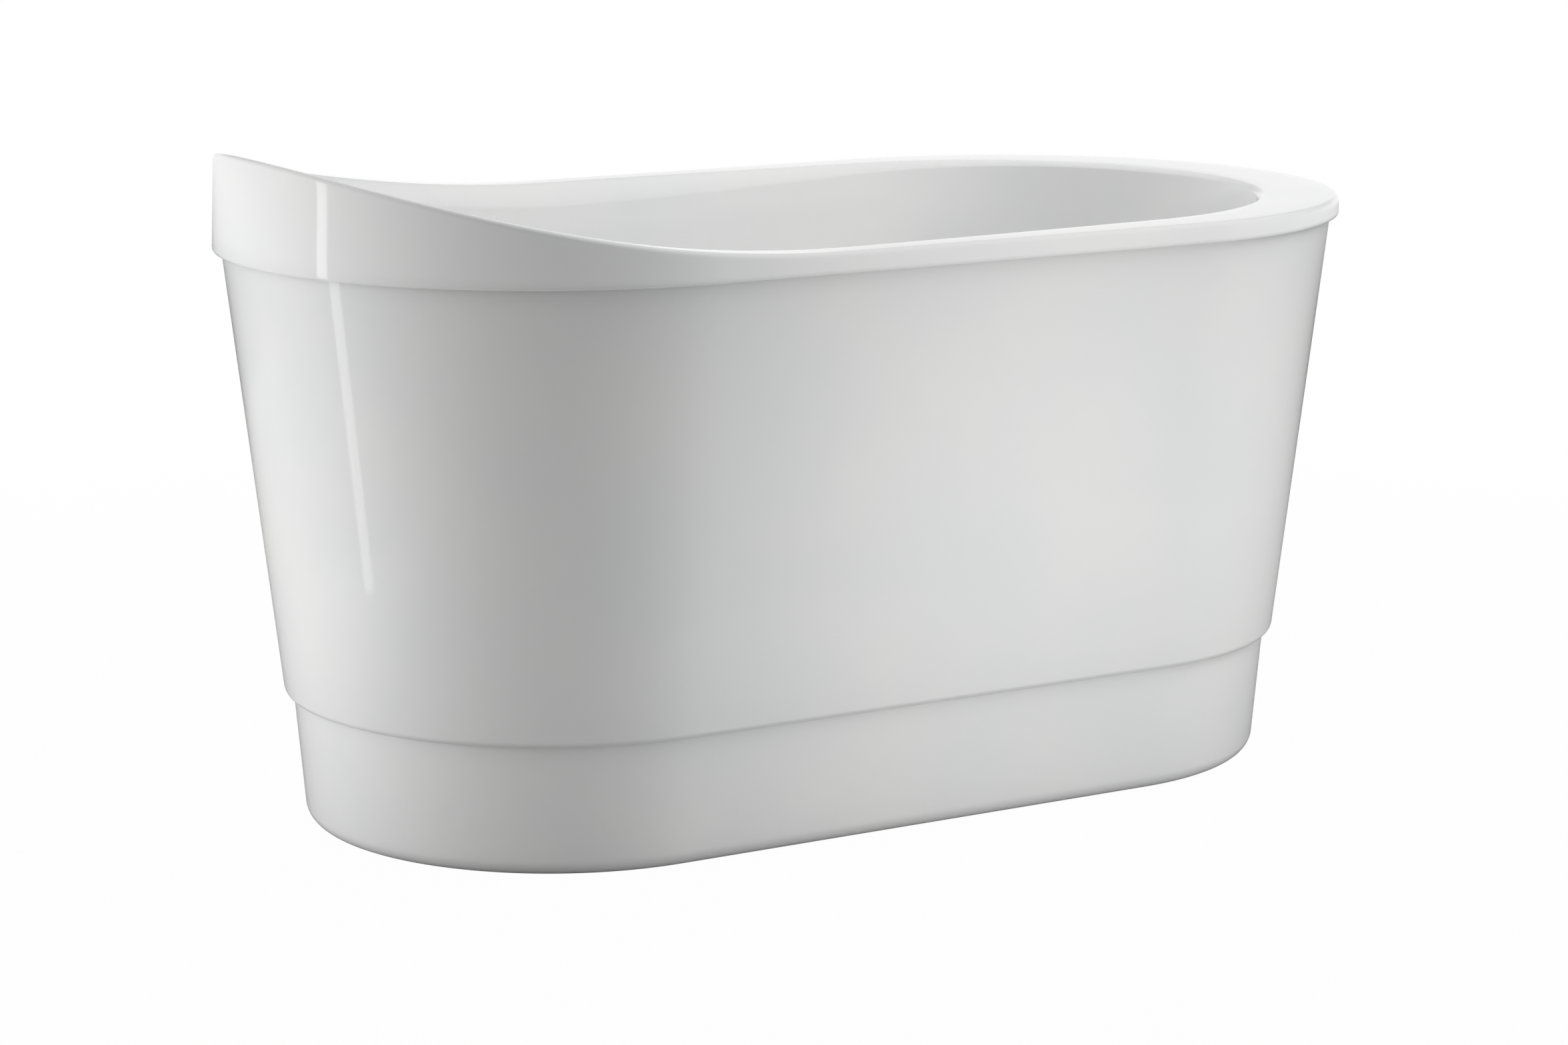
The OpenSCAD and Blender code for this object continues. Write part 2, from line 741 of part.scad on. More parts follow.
// The outlet has a collar that stops the trap's socket short of the slip nut
module outlet_pipe() {
    top = tee_low - loose_fit;
    collar_over = 1.5;
    collar_gap = 1;
    collar_top = tee_low - tail_socket - washer_t - nut_lip - collar_gap;
    color(plastic) at_drain() difference() {
        union() {
            translate([0, 0, outlet_z]) cylinder(r = outlet_r, h = top - outlet_z);
            translate([0, 0, collar_top - collar_h]) cylinder(r = outlet_r + collar_over, h = collar_h);
        }
        translate([0, 0, outlet_z - past])
            cylinder(r = outlet_r - pipe_t, h = top - outlet_z + 2 * past);
    }
}

// The plug's sprung cartridge, held in the hub of the drain
module plug_cartridge() {
    rim_r = hub_r - 1;
    rim_z = hub_z + hub_h;
    rim_t = 2;
    inner_r = barrel_r - barrel_wall;
    hole_r = stem_r + running_fit;
    color(plastic) at_drain() rotate_extrude() polygon([
        [0, barrel_z], [barrel_r, barrel_z], [barrel_r, rim_z], [rim_r, rim_z],
        [rim_r, rim_z + rim_t], [barrel_r, rim_z + rim_t], [barrel_r, barrel_top],
        [hole_r, barrel_top], [hole_r, barrel_top - barrel_lid],
        [inner_r, barrel_top - barrel_lid], [inner_r, spring_z], [0, spring_z]
    ]);
}

module plug_stem() {
    collar_z = spring_z + spring_h;
    collar_gap = 0.4;
    color(chrome) at_drain() translate([0, 0, collar_z]) union() {
        cylinder(r = barrel_r - barrel_wall - collar_gap, h = collar_h);
        cylinder(r = stem_r, h = plug_under - collar_z);
    }
}

module plug_seal() {
    seal_w = 5;
    seal_r = plug_r - 2;
    color(rubber) at_drain() translate([0, 0, flange_z + plug_rest])
        flat_ring(seal_r - seal_w, seal_r, seal_t);
}

// A low dome with a bevelled lower edge
module plug_cap() {
    bevel = 1;
    rise = 2;
    dome_r = (plug_r * plug_r + rise * rise) / (2 * rise);
    dome_a = asin(plug_r / dome_r);
    color(chrome) at_drain() translate([0, 0, plug_under]) rotate_extrude() polygon(concat(
        [[0, 0], [plug_r - bevel, 0], [plug_r, bevel]],
        arc(0, plug_h - dome_r, dome_r, 90 - dome_a, 90, arc_steps)
    ));
}

// A coil of round wire, as one closed tube
module plug_spring() {
    wire_r = 0.5;
    coil_r = 5.4;
    turns = 6;
    steps = 16;
    sides = 6;
    low = spring_z + wire_r + running_fit;
    rise = (spring_h - 2 * (wire_r + running_fit)) / turns;
    sections = [
        for (i = [0:turns * steps])
            let (a = 360 * i / steps, z = low + rise * i / steps)
            [for (k = [0:sides - 1])
                let (b = 360 * k / sides, r = coil_r + wire_r * cos(b))
                [r * cos(a), r * sin(a), z + wire_r * sin(b)]]
    ];
    n = len(sections);
    color(steel) at_drain() polyhedron(
        points = [for (section = sections) each section],
        faces = concat(
            [[for (k = [0:sides - 1]) sides - 1 - k]],
            [for (i = [0:n - 2], k = [0:sides - 1])
                let (k2 = (k + 1) % sides)
                [i * sides + k, i * sides + k2, (i + 1) * sides + k2, (i + 1) * sides + k]],
            [[for (k = [0:sides - 1]) (n - 1) * sides + k]]
        ),
        convexity = 6
    );
}

// Overflow, in a frame on the near wall: +Y up the wall, +Z out through it
overflow_z = rim_height - overflow_drop;
wall_n = shell_t * cos(wall_tilt);
nut_r = socket_r + nut_wall;

module at_overflow() {
    translate([drain_x, -wall_y(overflow_z), overflow_z]) rotate([90 + wall_tilt, 0, 0]) children();
}

// The riser runs in the gap between the tub's wall and the apron, down to the low pipe
socket_len = 34;
stop_len = 20;
elbow_hang = overflow_flange_r + nut_grip + nut_room;
riser_y = wall_y(overflow_z - elbow_hang) + shell_t + nut_r + nut_gap;
riser_low_y = plinth_r(low_pipe_z + socket_len) - plinth_t - nut_r - nut_room;
riser_lean = (riser_y - riser_low_y) / (overflow_z - elbow_hang - low_pipe_z);
riser_top = [drain_x, -(riser_y + elbow_hang * riser_lean), overflow_z];
riser_low = [drain_x, -riser_low_y, low_pipe_z];
riser_a = atan(riser_lean);
riser_len = norm(riser_top - riser_low);

// Frames along the pipes: +Z runs down the riser, up the riser, or along the low pipe
module at_riser_top() {
    translate(riser_top) rotate([180 + riser_a, 0, 0]) children();
}
module at_riser_low() {
    translate(riser_low) rotate([riser_a, 0, 0]) children();
}
module at_low_pipe() {
    translate(riser_low) rotate([-90, 0, 0]) children();
}
module at_tee_neck() {
    translate([drain_x, -tee_neck_y, low_pipe_z]) rotate([90, 0, 0]) children();
}

module overflow_gasket() {
    color(rubber) at_overflow() translate([0, 0, wall_n])
        flat_ring(overflow_hole_r, overflow_flange_r - seal_inset, gasket_t);
}

// The faceplate's shank passes through the wall and into the elbow behind it
overflow_face = wall_n + gasket_t;
plate_shank_r = overflow_hole_r - 2;
plate_wall = 3;
plate_grip = 12;
plate_flange_t = 2;

module overflow_faceplate() {
    color(chrome) at_overflow() translate([0, 0, -plate_flange_t]) difference() {
        union() {
            cylinder(r = overflow_flange_r, h = plate_flange_t);
            cylinder(r = plate_shank_r, h = plate_flange_t + overflow_face + plate_grip);
        }
        translate([0, 0, -past]) cylinder(
            r = plate_shank_r - plate_wall,
            h = plate_flange_t + overflow_face + plate_grip + 2 * past
        );
    }
}

module overflow_elbow() {
    flange_t = 5;
    room = 34;
    wall = 4;
    end_t = 3;
    color(plastic) difference() {
        union() {
            at_overflow() translate([0, 0, overflow_face]) {
                cylinder(r = overflow_flange_r, h = flange_t);
                cylinder(r = plate_shank_r + wall, h = room + end_t);
            }
            at_riser_top() cylinder(r = socket_r, h = elbow_hang);
        }
        at_overflow() translate([0, 0, overflow_face - past])
            cylinder(r = plate_shank_r + loose_fit, h = room + past);
        at_riser_top() translate([0, 0, elbow_hang - socket_len + stop_len])
            cylinder(r = pipe_r + loose_fit, h = socket_len);
        at_riser_top() cylinder(r = pipe_r - pipe_t, h = elbow_hang + past);
    }
}

// A cap that stands off the wall on six legs, which clip into the faceplate; the water runs in
// through the slot at the bottom of its skirt
module overflow_cover() {
    face_t = 3;
    skirt_t = 2;
    skirt_gap = 3;
    edge = 2.5;
    leg_r = plate_shank_r - plate_wall - loose_fit;
    leg_t = 2;
    leg_h = cover_depth + 9;
    legs = 6;
    leg_a = 30;
    slot_rise = 11;
    color(chrome) at_overflow() translate([0, 0, -cover_depth]) union() {
        difference() {
            rotate_extrude() polygon(concat(
                [[0, 0]],
                arc(cover_r - edge, edge, edge, -90, 0, edge_steps),
                [[cover_r, cover_depth - skirt_gap], [cover_r - skirt_t, cover_depth - skirt_gap]],
                [[cover_r - skirt_t, face_t], [0, face_t]]
            ));
            translate([-cover_slot / 2, -cover_r - past, face_t])
                cube([cover_slot, slot_rise + past, cover_depth]);
        }
        for (i = [0:legs - 1]) {
            rotate([0, 0, 360 * i / legs + 90 - leg_a / 2]) rotate_extrude(angle = leg_a)
                translate([leg_r - leg_t, face_t - past]) square([leg_t, leg_h - face_t + past]);
        }
    }
}

module riser_pipe() {
    start = elbow_hang - socket_len + stop_len + loose_fit;
    color(plastic) at_riser_top() translate([0, 0, start])
        flat_ring(pipe_r - pipe_t, pipe_r, riser_len - start - stop_len - loose_fit);
}

low_len = -riser_low[1] - tee_r - pipe_stop;

module low_pipe() {
    color(plastic) at_low_pipe() translate([0, 0, stop_len + loose_fit])
        flat_ring(pipe_r - pipe_t, pipe_r, low_len - stop_len - 2 * loose_fit);
}

module low_elbow() {
    knee_over = 1.5;
    color(plastic) difference() {
        union() {
            at_riser_low() cylinder(r = socket_r, h = socket_len);
            at_low_pipe() cylinder(r = socket_r, h = socket_len);
            translate(riser_low) sphere(r = socket_r + knee_over);
        }
        at_riser_low() translate([0, 0, stop_len]) cylinder(r = pipe_r + loose_fit, h = socket_len);
        at_low_pipe() translate([0, 0, stop_len]) cylinder(r = pipe_r + loose_fit, h = socket_len);
        at_riser_low() cylinder(r = pipe_r - pipe_t, h = socket_len);
        at_low_pipe() translate([0, 0, -pipe_r / 2])
            cylinder(r = pipe_r - pipe_t, h = socket_len);
    }
}

// A slip joint's washer and nut; z = 0 is the socket's end and +Z runs along the pipe
module slip_washer(pipe, socket) {
    flat_ring(pipe + loose_fit, socket, washer_t);
}
module slip_nut(pipe, socket) {
    outer = socket + nut_wall;
    top = washer_t + nut_lip;
    bevel = nut_lip / 2;
    rotate_extrude() polygon([
        [socket + loose_fit, -nut_grip], [outer, -nut_grip],
        [outer, top - bevel], [outer - bevel, top],
        [pipe + loose_fit, top], [pipe + loose_fit, washer_t],
        [socket + loose_fit, washer_t]
    ]);
}

module at_slip_joints() {
    at_riser_top() translate([0, 0, elbow_hang]) children(0);
    at_riser_low() translate([0, 0, socket_len]) children(0);
    at_low_pipe() translate([0, 0, socket_len]) children(0);
    at_tee_neck() children(0);
    translate([drain_x, 0, tee_low - tail_socket]) rotate([180, 0, 0]) children(1);
}

module slip_nuts() {
    color(plastic) at_slip_joints() {
        slip_nut(pipe_r, socket_r);
        slip_nut(outlet_r, outlet_socket_r);
    }
}

module slip_washers() {
    color(rubber) at_slip_joints() {
        slip_washer(pipe_r, socket_r);
        slip_washer(outlet_r, outlet_socket_r);
    }
}

tub_shell();
rim_ring();
apron();
apron_screws();
plinth();
base_board();
leg_bar_head();
leg_bar_mid();
leg_bar_foot();
board_screws();
plinth_brackets();
bracket_screws();
foot_lock_nuts();
levelling_foot(1);  // levelling_foot_1
levelling_foot(2);  // levelling_foot_2
levelling_foot(3);  // levelling_foot_3
levelling_foot(4);  // levelling_foot_4
levelling_foot(5);  // levelling_foot_5
levelling_foot(6);  // levelling_foot_6
drain_flange();
drain_seal();
drain_gasket();
waste_tee();
plug_cartridge();
plug_cap();
plug_seal();
plug_stem();
plug_spring();
outlet_pipe();
low_pipe();
low_elbow();
riser_pipe();
slip_nuts();
slip_washers();
overflow_elbow();
overflow_gasket();
overflow_faceplate();
overflow_cover();
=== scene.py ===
"""Looks of a deep oval soaking tub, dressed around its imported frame.

The tub is a thermoformed acrylic shell with a raised back, a separate apron and a plinth. What
carries it is underneath: a plywood board, pressed steel bars, levelling feet and the waste.
"""

import json
import logging
import math
from dataclasses import dataclass, field
from enum import Enum
from typing import Any

import bmesh
import bpy
import numpy as np
from mathutils import Matrix, Vector

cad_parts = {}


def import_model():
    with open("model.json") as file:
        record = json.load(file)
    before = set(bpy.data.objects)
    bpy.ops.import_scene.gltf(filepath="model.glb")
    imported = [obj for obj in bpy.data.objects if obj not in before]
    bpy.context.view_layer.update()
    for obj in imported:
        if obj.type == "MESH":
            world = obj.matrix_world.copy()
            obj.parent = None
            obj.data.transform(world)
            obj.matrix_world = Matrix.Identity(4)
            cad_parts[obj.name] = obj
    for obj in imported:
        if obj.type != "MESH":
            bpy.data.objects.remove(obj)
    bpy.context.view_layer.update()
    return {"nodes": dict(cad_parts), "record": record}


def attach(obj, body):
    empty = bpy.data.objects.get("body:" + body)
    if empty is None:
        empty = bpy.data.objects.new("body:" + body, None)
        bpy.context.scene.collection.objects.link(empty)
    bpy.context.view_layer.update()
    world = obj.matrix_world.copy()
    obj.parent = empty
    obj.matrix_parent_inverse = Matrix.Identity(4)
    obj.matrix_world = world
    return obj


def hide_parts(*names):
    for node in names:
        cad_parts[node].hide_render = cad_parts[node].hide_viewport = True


LOG = logging.getLogger("soaking_tub")
MM = 0.001
# Length in metres of one band of a wave texture at a scale of 1
WAVE_BAND = 0.314
# Edges that turn by more degrees than this stay sharp
SHARP_ANGLE = 40.0
# Steps round a turned piece and round a drilled hole
TURNED_STEPS = 144
HOLE_STEPS = 96

Rows = list[np.ndarray]
Profile = list[tuple[float, float]]


class Body(Enum):
    """The bodies of the frame that the pieces made here ride on."""

    TUB = "tub"
    PLUG = "plug"


class Slot(Enum):
    """The record's material slots."""

    SHELL = "acrylic_shell"
    PANEL = "acrylic_panel"
    PLYWOOD = "plywood"
    STEEL = "steel"
    FOOT = "foot"
    CHROME = "chrome"
    RUBBER = "rubber"
    WASTE = "waste_plastic"


# ------------------------------
# Colours, nodes and finishes
# ------------------------------


def linear(code: str) -> tuple[float, float, float, float]:
    """Turn an sRGB hex colour into linear RGBA.

    Args:
        code: The colour as "#RRGGBB".

    Returns:
        Red, green, blue and an alpha of 1, each from 0 to 1.
    """
    shares = [int(code[i : i + 2], 16) / 255 for i in (1, 3, 5)]
    red, green, blue = (c / 12.92 if c <= 0.04045 else ((c + 0.055) / 1.055) ** 2.4 for c in shares)
    return red, green, blue, 1.0


def add_node(
    tree: bpy.types.NodeTree,
    kind: str,
    settings: dict[str | int, Any] | None = None,
    links: dict[str | int, bpy.types.NodeSocket] | None = None,
) -> bpy.types.Node:
    """Add a node with its settings and links.

    Args:
        tree: The node tree to add to.
        kind: The node's Blender type name.
        settings: Values by input name, input index or property name.
        links: Output sockets to link, by input name or index.

    Returns:
        The new node.
    """
    node = tree.nodes.new(kind)
    for name, value in (settings or {}).items():
        if isinstance(name, str) and hasattr(node, name):
            setattr(node, name, value)
        else:
            node.inputs[name].default_value = value
    for name, socket in (links or {}).items():
        tree.links.new(socket, node.inputs[name])
    return node


def ramp(node: bpy.types.Node, stops: dict[float, tuple[float, float, float, float]]) -> None:
    """Set a colour ramp's stops.

    Args:
        node: The colour ramp node.
        stops: Linear colours by position, in order.
    """
    elements = node.color_ramp.elements
    for i, (place, colour) in enumerate(stops.items()):
        element = elements[i] if i < len(elements) else elements.new(place)
        element.position = place
        element.color = colour


def patches(
    tree: bpy.types.NodeTree,
    place: bpy.types.NodeSocket,
    size_mm: float,
    settings: dict[str | int, Any],
    stops: dict[float, tuple[float, float, float, float]],
) -> tuple[bpy.types.NodeSocket, bpy.types.NodeSocket]:
    """Add an uneven pattern and the tones that it takes.

    Args:
        tree: The node tree to add to.
        place: The surface's place.
        size_mm: The pattern's size in millimetres.
        settings: The pattern's other settings.
        stops: Linear colours by position, in order.

    Returns:
        The pattern's strength and its colour.
    """
    settings = {"Scale": 1 / (size_mm * MM), **settings}
    noise = add_node(tree, "ShaderNodeTexNoise", settings, {"Vector": place})
    tone = add_node(tree, "ShaderNodeValToRGB", links={0: noise.outputs[0]})
    ramp(tone, stops)
    return noise.outputs[0], tone.outputs[0]


@dataclass(frozen=True)
class Finish:
    """What every finish has: a name and a way to make its material."""

    name: str

    def shader(self, tree: bpy.types.NodeTree, place: bpy.types.NodeSocket) -> bpy.types.Node:
        """Build the finish's shader from the surface's place and return it."""
        raise NotImplementedError

    def material(self) -> bpy.types.Material:
        """Make the material.

        Returns:
            The material, with the finish's shader on its output.
        """
        made = bpy.data.materials.new(self.name)
        made.use_nodes = True
        tree = made.node_tree
        tree.nodes.clear()
        place = add_node(tree, "ShaderNodeTexCoord").outputs["Object"]
        shader = self.shader(tree, place)
        add_node(tree, "ShaderNodeOutputMaterial", links={"Surface": shader.outputs[0]})
        return made


@dataclass(frozen=True)
class CastAcrylic(Finish):
    """Cast acrylic sheet, thermoformed over a mould and polished.

    It is white with a deep, slightly soft gloss. Stretched over the mould, it keeps a faint
    orange peel and long, shallow waves, which bend the reflections a little.
    """

    white: str = "#EFEFEE"
    cloud: str = "#EBECEC"
    roughness: float = 0.06
    glossy_share: float = 0.9
    dull_share: float = 1.15
    ior: float = 1.49
    cloud_mm: float = 220.0
    # Size and depth in millimetres, and detail, of the waves and of the orange peel
    relief: tuple[tuple[float, float, float], ...] = ((260.0, 0.05, 1.0), (14.0, 0.002, 2.0))

    def shader(self, tree: bpy.types.NodeTree, place: bpy.types.NodeSocket) -> bpy.types.Node:
        """Build the shader: clouded white, uneven gloss, orange peel and waves.

        Args:
            tree: The material's node tree.
            place: The surface's place in metres.

        Returns:
            The shader node.
        """
        stops = {0.35: linear(self.white), 0.65: linear(self.cloud)}
        clouds, tone = patches(tree, place, self.cloud_mm, {"Detail": 3.0, "Roughness": 0.5}, stops)
        gloss = add_node(
            tree,
            "ShaderNodeMapRange",
            {"To Min": self.roughness * self.glossy_share, "To Max": self.roughness * self.dull_share},
            {"Value": clouds},
        )
        links = {"Base Color": tone, "Roughness": gloss.outputs[0]}
        below = {}
        for size_mm, depth_mm, detail in self.relief:
            size = {"Scale": 1 / (size_mm * MM), "Detail": detail}
            noise = add_node(tree, "ShaderNodeTexNoise", size, {"Vector": place})
            depth = {"Strength": 1.0, "Distance": depth_mm * MM}
            bump = add_node(tree, "ShaderNodeBump", depth, {"Height": noise.outputs[0], **below})
            below = {"Normal": bump.outputs[0]}
        return add_node(tree, "ShaderNodeBsdfPrincipled", {"IOR": self.ior}, {**links, **below})


@dataclass(frozen=True)
class BirchPlywood(Finish):
    """Rotary-cut birch plywood, sanded but not sealed.

    Its faces show long pale grain along the sheet, and its cut edges show the glue lines of the
    plies.
    """

    pale: str = "#D9BE92"
    grain: str = "#B98F5E"
    glue: str = "#7A5637"
    roughness: float = 0.62
    grain_mm: float = 9.0
    stretch: float = 12.0
    ply_mm: float = 1.6
    relief_mm: float = 0.2

    def shader(self, tree: bpy.types.NodeTree, place: bpy.types.NodeSocket) -> bpy.types.Node:
        """Build the shader: stretched grain on the faces and glue lines on the edges.

        Args:
            tree: The material's node tree.
            place: The surface's place in metres.

        Returns:
            The shader node.
        """
        scale = {"Scale": (1 / self.stretch, 1.0, 1.0)}
        along = add_node(tree, "ShaderNodeMapping", scale, {"Vector": place})
        stops = {0.3: linear(self.pale), 0.75: linear(self.grain)}
        bent = {"Detail": 6.0, "Distortion": 0.6}
        fibre, face = patches(tree, along.outputs[0], self.grain_mm, bent, stops)
        bands = {"bands_direction": "Z", "Scale": WAVE_BAND / (2 * self.ply_mm * MM), "Distortion": 0.4}
        plies = add_node(tree, "ShaderNodeTexWave", bands, {"Vector": place})
        edge = add_node(tree, "ShaderNodeValToRGB", links={0: plies.outputs[0]})
        ramp(edge, {0.1: linear(self.glue), 0.45: linear(self.pale)})
        normal = add_node(tree, "ShaderNodeNewGeometry").outputs["Normal"]
        height = add_node(tree, "ShaderNodeSeparateXYZ", links={0: normal}).outputs[2]
        flat = add_node(tree, "ShaderNodeMath", {"operation": "ABSOLUTE"}, {0: height})
        # A colour mix takes its colours at inputs 6 and 7 and gives one at output 2
        colour = add_node(
            tree,
            "ShaderNodeMix",
            {"data_type": "RGBA"},
            {"Factor": flat.outputs[0], 6: edge.outputs[0], 7: face},
        )
        raised = {"Strength": 0.4, "Distance": self.relief_mm * MM}
        bump = add_node(tree, "ShaderNodeBump", raised, {"Height": fibre})
        links = {"Base Color": colour.outputs[2], "Normal": bump.outputs[0]}
        return add_node(tree, "ShaderNodeBsdfPrincipled", {"Roughness": self.roughness}, links)


@dataclass(frozen=True)
class Metal(Finish):
    """A plated metal: its bright and dull tones, and the size of the pattern between them."""

    bright: str
    dull: str
    smooth: float
    rough: float
    pattern_mm: float
    relief_mm: float

    def shader(self, tree: bpy.types.NodeTree, place: bpy.types.NodeSocket) -> bpy.types.Node:
        """Build the shader: patches of tone and gloss with a fine relief.

        Args:
            tree: The material's node tree.
            place: The surface's place in metres.

        Returns:
            The shader node.
        """
        stops = {0.3: linear(self.dull), 0.7: linear(self.bright)}
        cells, tone = patches(tree, place, self.pattern_mm, {"Detail": 4.0}, stops)
        gloss = add_node(
            tree,
            "ShaderNodeMapRange",
            {"From Min": 0.3, "From Max": 0.7, "To Min": self.rough, "To Max": self.smooth},
            {"Value": cells},
        )
        raised = {"Strength": 0.5, "Distance": self.relief_mm * MM}
        bump = add_node(tree, "ShaderNodeBump", raised, {"Height": cells})
        links = {"Base Color": tone, "Roughness": gloss.outputs[0], "Normal": bump.outputs[0]}
        return add_node(tree, "ShaderNodeBsdfPrincipled", {"Metallic": 1.0}, links)


@dataclass(frozen=True)
class Moulded(Finish):
    """A moulded plastic or rubber: its tone, its gloss and the grain of its mould."""

    tone: str
    shade: str
    roughness: float
    grain_mm: float
    relief_mm: float
    ior: float = 1.5

    def shader(self, tree: bpy.types.NodeTree, place: bpy.types.NodeSocket) -> bpy.types.Node:
        """Build the shader: a faint mottle and the mould's spark-eroded grain.

        Args:
            tree: The material's node tree.
            place: The surface's place in metres.

        Returns:
            The shader node.
        """
        stops = {0.3: linear(self.tone), 0.7: linear(self.shade)}
        fine = {"Detail": 5.0, "Roughness": 0.6}
        grain, tone = patches(tree, place, self.grain_mm, fine, stops)
        raised = {"Strength": 0.6, "Distance": self.relief_mm * MM}
        bump = add_node(tree, "ShaderNodeBump", raised, {"Height": grain})
        plain = {"Roughness": self.roughness, "IOR": self.ior}
        links = {"Base Color": tone, "Normal": bump.outputs[0]}
        return add_node(tree, "ShaderNodeBsdfPrincipled", plain, links)


# Zinc-plated pressed steel: grey with a soft spangle, rubbed duller where it was formed
ZINC_STEEL = Metal("zinc_plated_steel", "#C9CBCC", "#A3A6A9", 0.28, 0.42, 6.0, 0.02)
# Chrome-plated brass: a clean mirror with hardly any haze
CHROME_BRASS = Metal("chrome_plated_brass", "#E4E5E7", "#DCDDE0", 0.04, 0.08, 30.0, 0.001)
# Nitrile rubber seals: near-black and matt
NITRILE = Moulded("nitrile_rubber", "#222223", "#19191A", 0.7, 0.8, 0.03)
# Glass-filled nylon: black with the fine grain of its mould
NYLON = Moulded("glass_filled_nylon", "#242526", "#1B1C1D", 0.5, 0.6, 0.04)
# Injection-moulded polypropylene: milky white with a waxy half gloss
POLYPROPYLENE = Moulded("moulded_polypropylene", "#E6E6E3", "#DEDFDC", 0.38, 1.2, 0.02)


# ------------------------------
# Meshes
# ------------------------------


def straight(a: np.ndarray, b: np.ndarray, steps: int) -> Rows:
    """Give the rows strictly between two rows, or the points between two points.

    Args:
        a: The first row or point.
        b: The last row or point.
        steps: Number of equal steps from a to b.

    Returns:
        steps - 1 rows.
    """
    return [a + (b - a) * i / steps for i in range(1, steps)]


def bend(a: np.ndarray, corner: np.ndarray, b: np.ndarray, steps: int) -> Rows:
    """Give the rows of a smooth bend that starts at a and ends at b.

    Args:
        a: The row where the bend starts.
        corner: The row of corners that it rounds off.
        b: The row where the bend ends.
        steps: Number of steps along the bend.

    Returns:
        steps + 1 rows.
    """
    shares = [i / steps for i in range(steps + 1)]
    return [(1 - t) ** 2 * a + 2 * t * (1 - t) * corner + t * t * b for t in shares]


def shoulder(a: np.ndarray, corner: np.ndarray, b: np.ndarray, grip: float, steps: int) -> Rows:
    """Give the rows of a sloping shoulder that starts at a and ends at b, rounded at both ends.

    Args:
        a: The row where the shoulder starts.
        corner: The row of corners that it slopes across.
        b: The row where the shoulder ends.
        grip: How far its ends hold on to the surfaces that it joins, from 0 to 1.
        steps: Number of steps along it.

    Returns:
        steps + 1 rows.
    """
    near, far = a + (corner - a) * grip, b + (corner - b) * grip
    shares = [i / steps for i in range(steps + 1)]
    return [
        (1 - t) ** 3 * a + 3 * t * (1 - t) ** 2 * near + 3 * t * t * (1 - t) * far + t**3 * b
        for t in shares
    ]


def unit(rows: np.ndarray) -> np.ndarray:
    """Scale each vector of a row to a length of 1."""
    return rows / np.linalg.norm(rows, axis=1, keepdims=True)


def link(name: str, data: bpy.types.ID) -> bpy.types.Object:
    """Add an object to the scene.

    Args:
        name: The object's name.
        data: Its mesh, lamp or camera.

    Returns:
        The new object.
    """
    made = bpy.data.objects.new(name, data)
    bpy.context.scene.collection.objects.link(made)
    return made


def from_work(name: str, work: bmesh.types.BMesh) -> bpy.types.Object:
    """Turn a mesh in the making into an object.

    Args:
        name: The name of the object and of its mesh.
        work: The mesh in the making, which is freed.

    Returns:
        The new object.
    """
    mesh = bpy.data.meshes.new(name)
    work.to_mesh(mesh)
    work.free()
    return link(name, mesh)


def smooth_mesh(name: str, grid: np.ndarray, ring: bool = True) -> bpy.types.Object:
    """Make a closed skin from a grid of points whose rows wrap round.

    Args:
        name: The object's name.
        grid: Points as (rows, stations, 3).
        ring: Whether the last row joins the first. If not, each of them closes in a point.

    Returns:
        The new object.
    """
    m, n = grid.shape[:2]
    mesh = bpy.data.meshes.new(name)
    faces = [
        (i * n + j, i * n + (j + 1) % n, (i + 1) % m * n + (j + 1) % n, (i + 1) % m * n + j)
        for i in range(m if ring else m - 1)
        for j in range(n)
    ]
    mesh.from_pydata(grid.reshape(-1, 3).tolist(), [], faces)
    made = link(name, mesh)
    tidy(made)
    return made


def tidy(made: bpy.types.Object) -> None:
    """Turn a mesh's faces outwards and shade it smooth between its sharp edges.

    Args:
        made: The object whose mesh is tidied.
    """
    work = bmesh.new()
    work.from_mesh(made.data)
    bmesh.ops.remove_doubles(work, verts=work.verts, dist=0.001 * MM)
    bmesh.ops.recalc_face_normals(work, faces=work.faces)
    work.to_mesh(made.data)
    work.free()
    made.data.shade_smooth()
    made.data.set_sharp_from_angle(angle=math.radians(SHARP_ANGLE))


def cut(made: bpy.types.Object, *cutters: bpy.types.Object) -> None:
    """Take cutters out of an object and delete them.

    Args:
        made: The object to cut.
        cutters: The closed objects to take away.
    """
    for cutter in cutters:
        modifier = made.modifiers.new("cut", "BOOLEAN")
        modifier.object = cutter
        modifier.solver = "EXACT"
    bpy.context.view_layer.update()
    evaluated = made.evaluated_get(bpy.context.evaluated_depsgraph_get())
    mesh = bpy.data.meshes.new_from_object(evaluated)
    made.modifiers.clear()
    made.data = mesh
    for cutter in cutters:
        bpy.data.objects.remove(cutter)
    tidy(made)


def arc(middle: tuple[float, float], radius: float, turn: tuple[float, float], steps: int) -> Profile:
    """Give an arc of a section.

    Args:
        middle: The arc's middle, as radius and height.
        radius: The arc's radius.
        turn: Its first and last direction in degrees.
        steps: Number of steps along it.

    Returns:
        The arc's points.
    """
    turns = [math.radians(turn[0] + (turn[1] - turn[0]) * i / steps) for i in range(steps + 1)]
    return [(middle[0] + radius * math.cos(a), middle[1] + radius * math.sin(a)) for a in turns]


def lathe(name: str, section: Profile, place: Matrix) -> bpy.types.Object:
    """Turn a section round the +Z axis of a frame.

    Args:
        name: The object's name.
        section: Points as radius and height, from the axis back to the axis.
        place: The frame to turn it in.

    Returns:
        The turned piece.
    """
    turns = np.linspace(0.0, 2 * math.pi, TURNED_STEPS, endpoint=False)
    rows = [[r * np.cos(turns), r * np.sin(turns), np.full_like(turns, z)] for r, z in section]
    made = smooth_mesh(name, np.stack([np.stack(row, axis=1) for row in rows]), ring=False)
    made.data.transform(place)
    return made


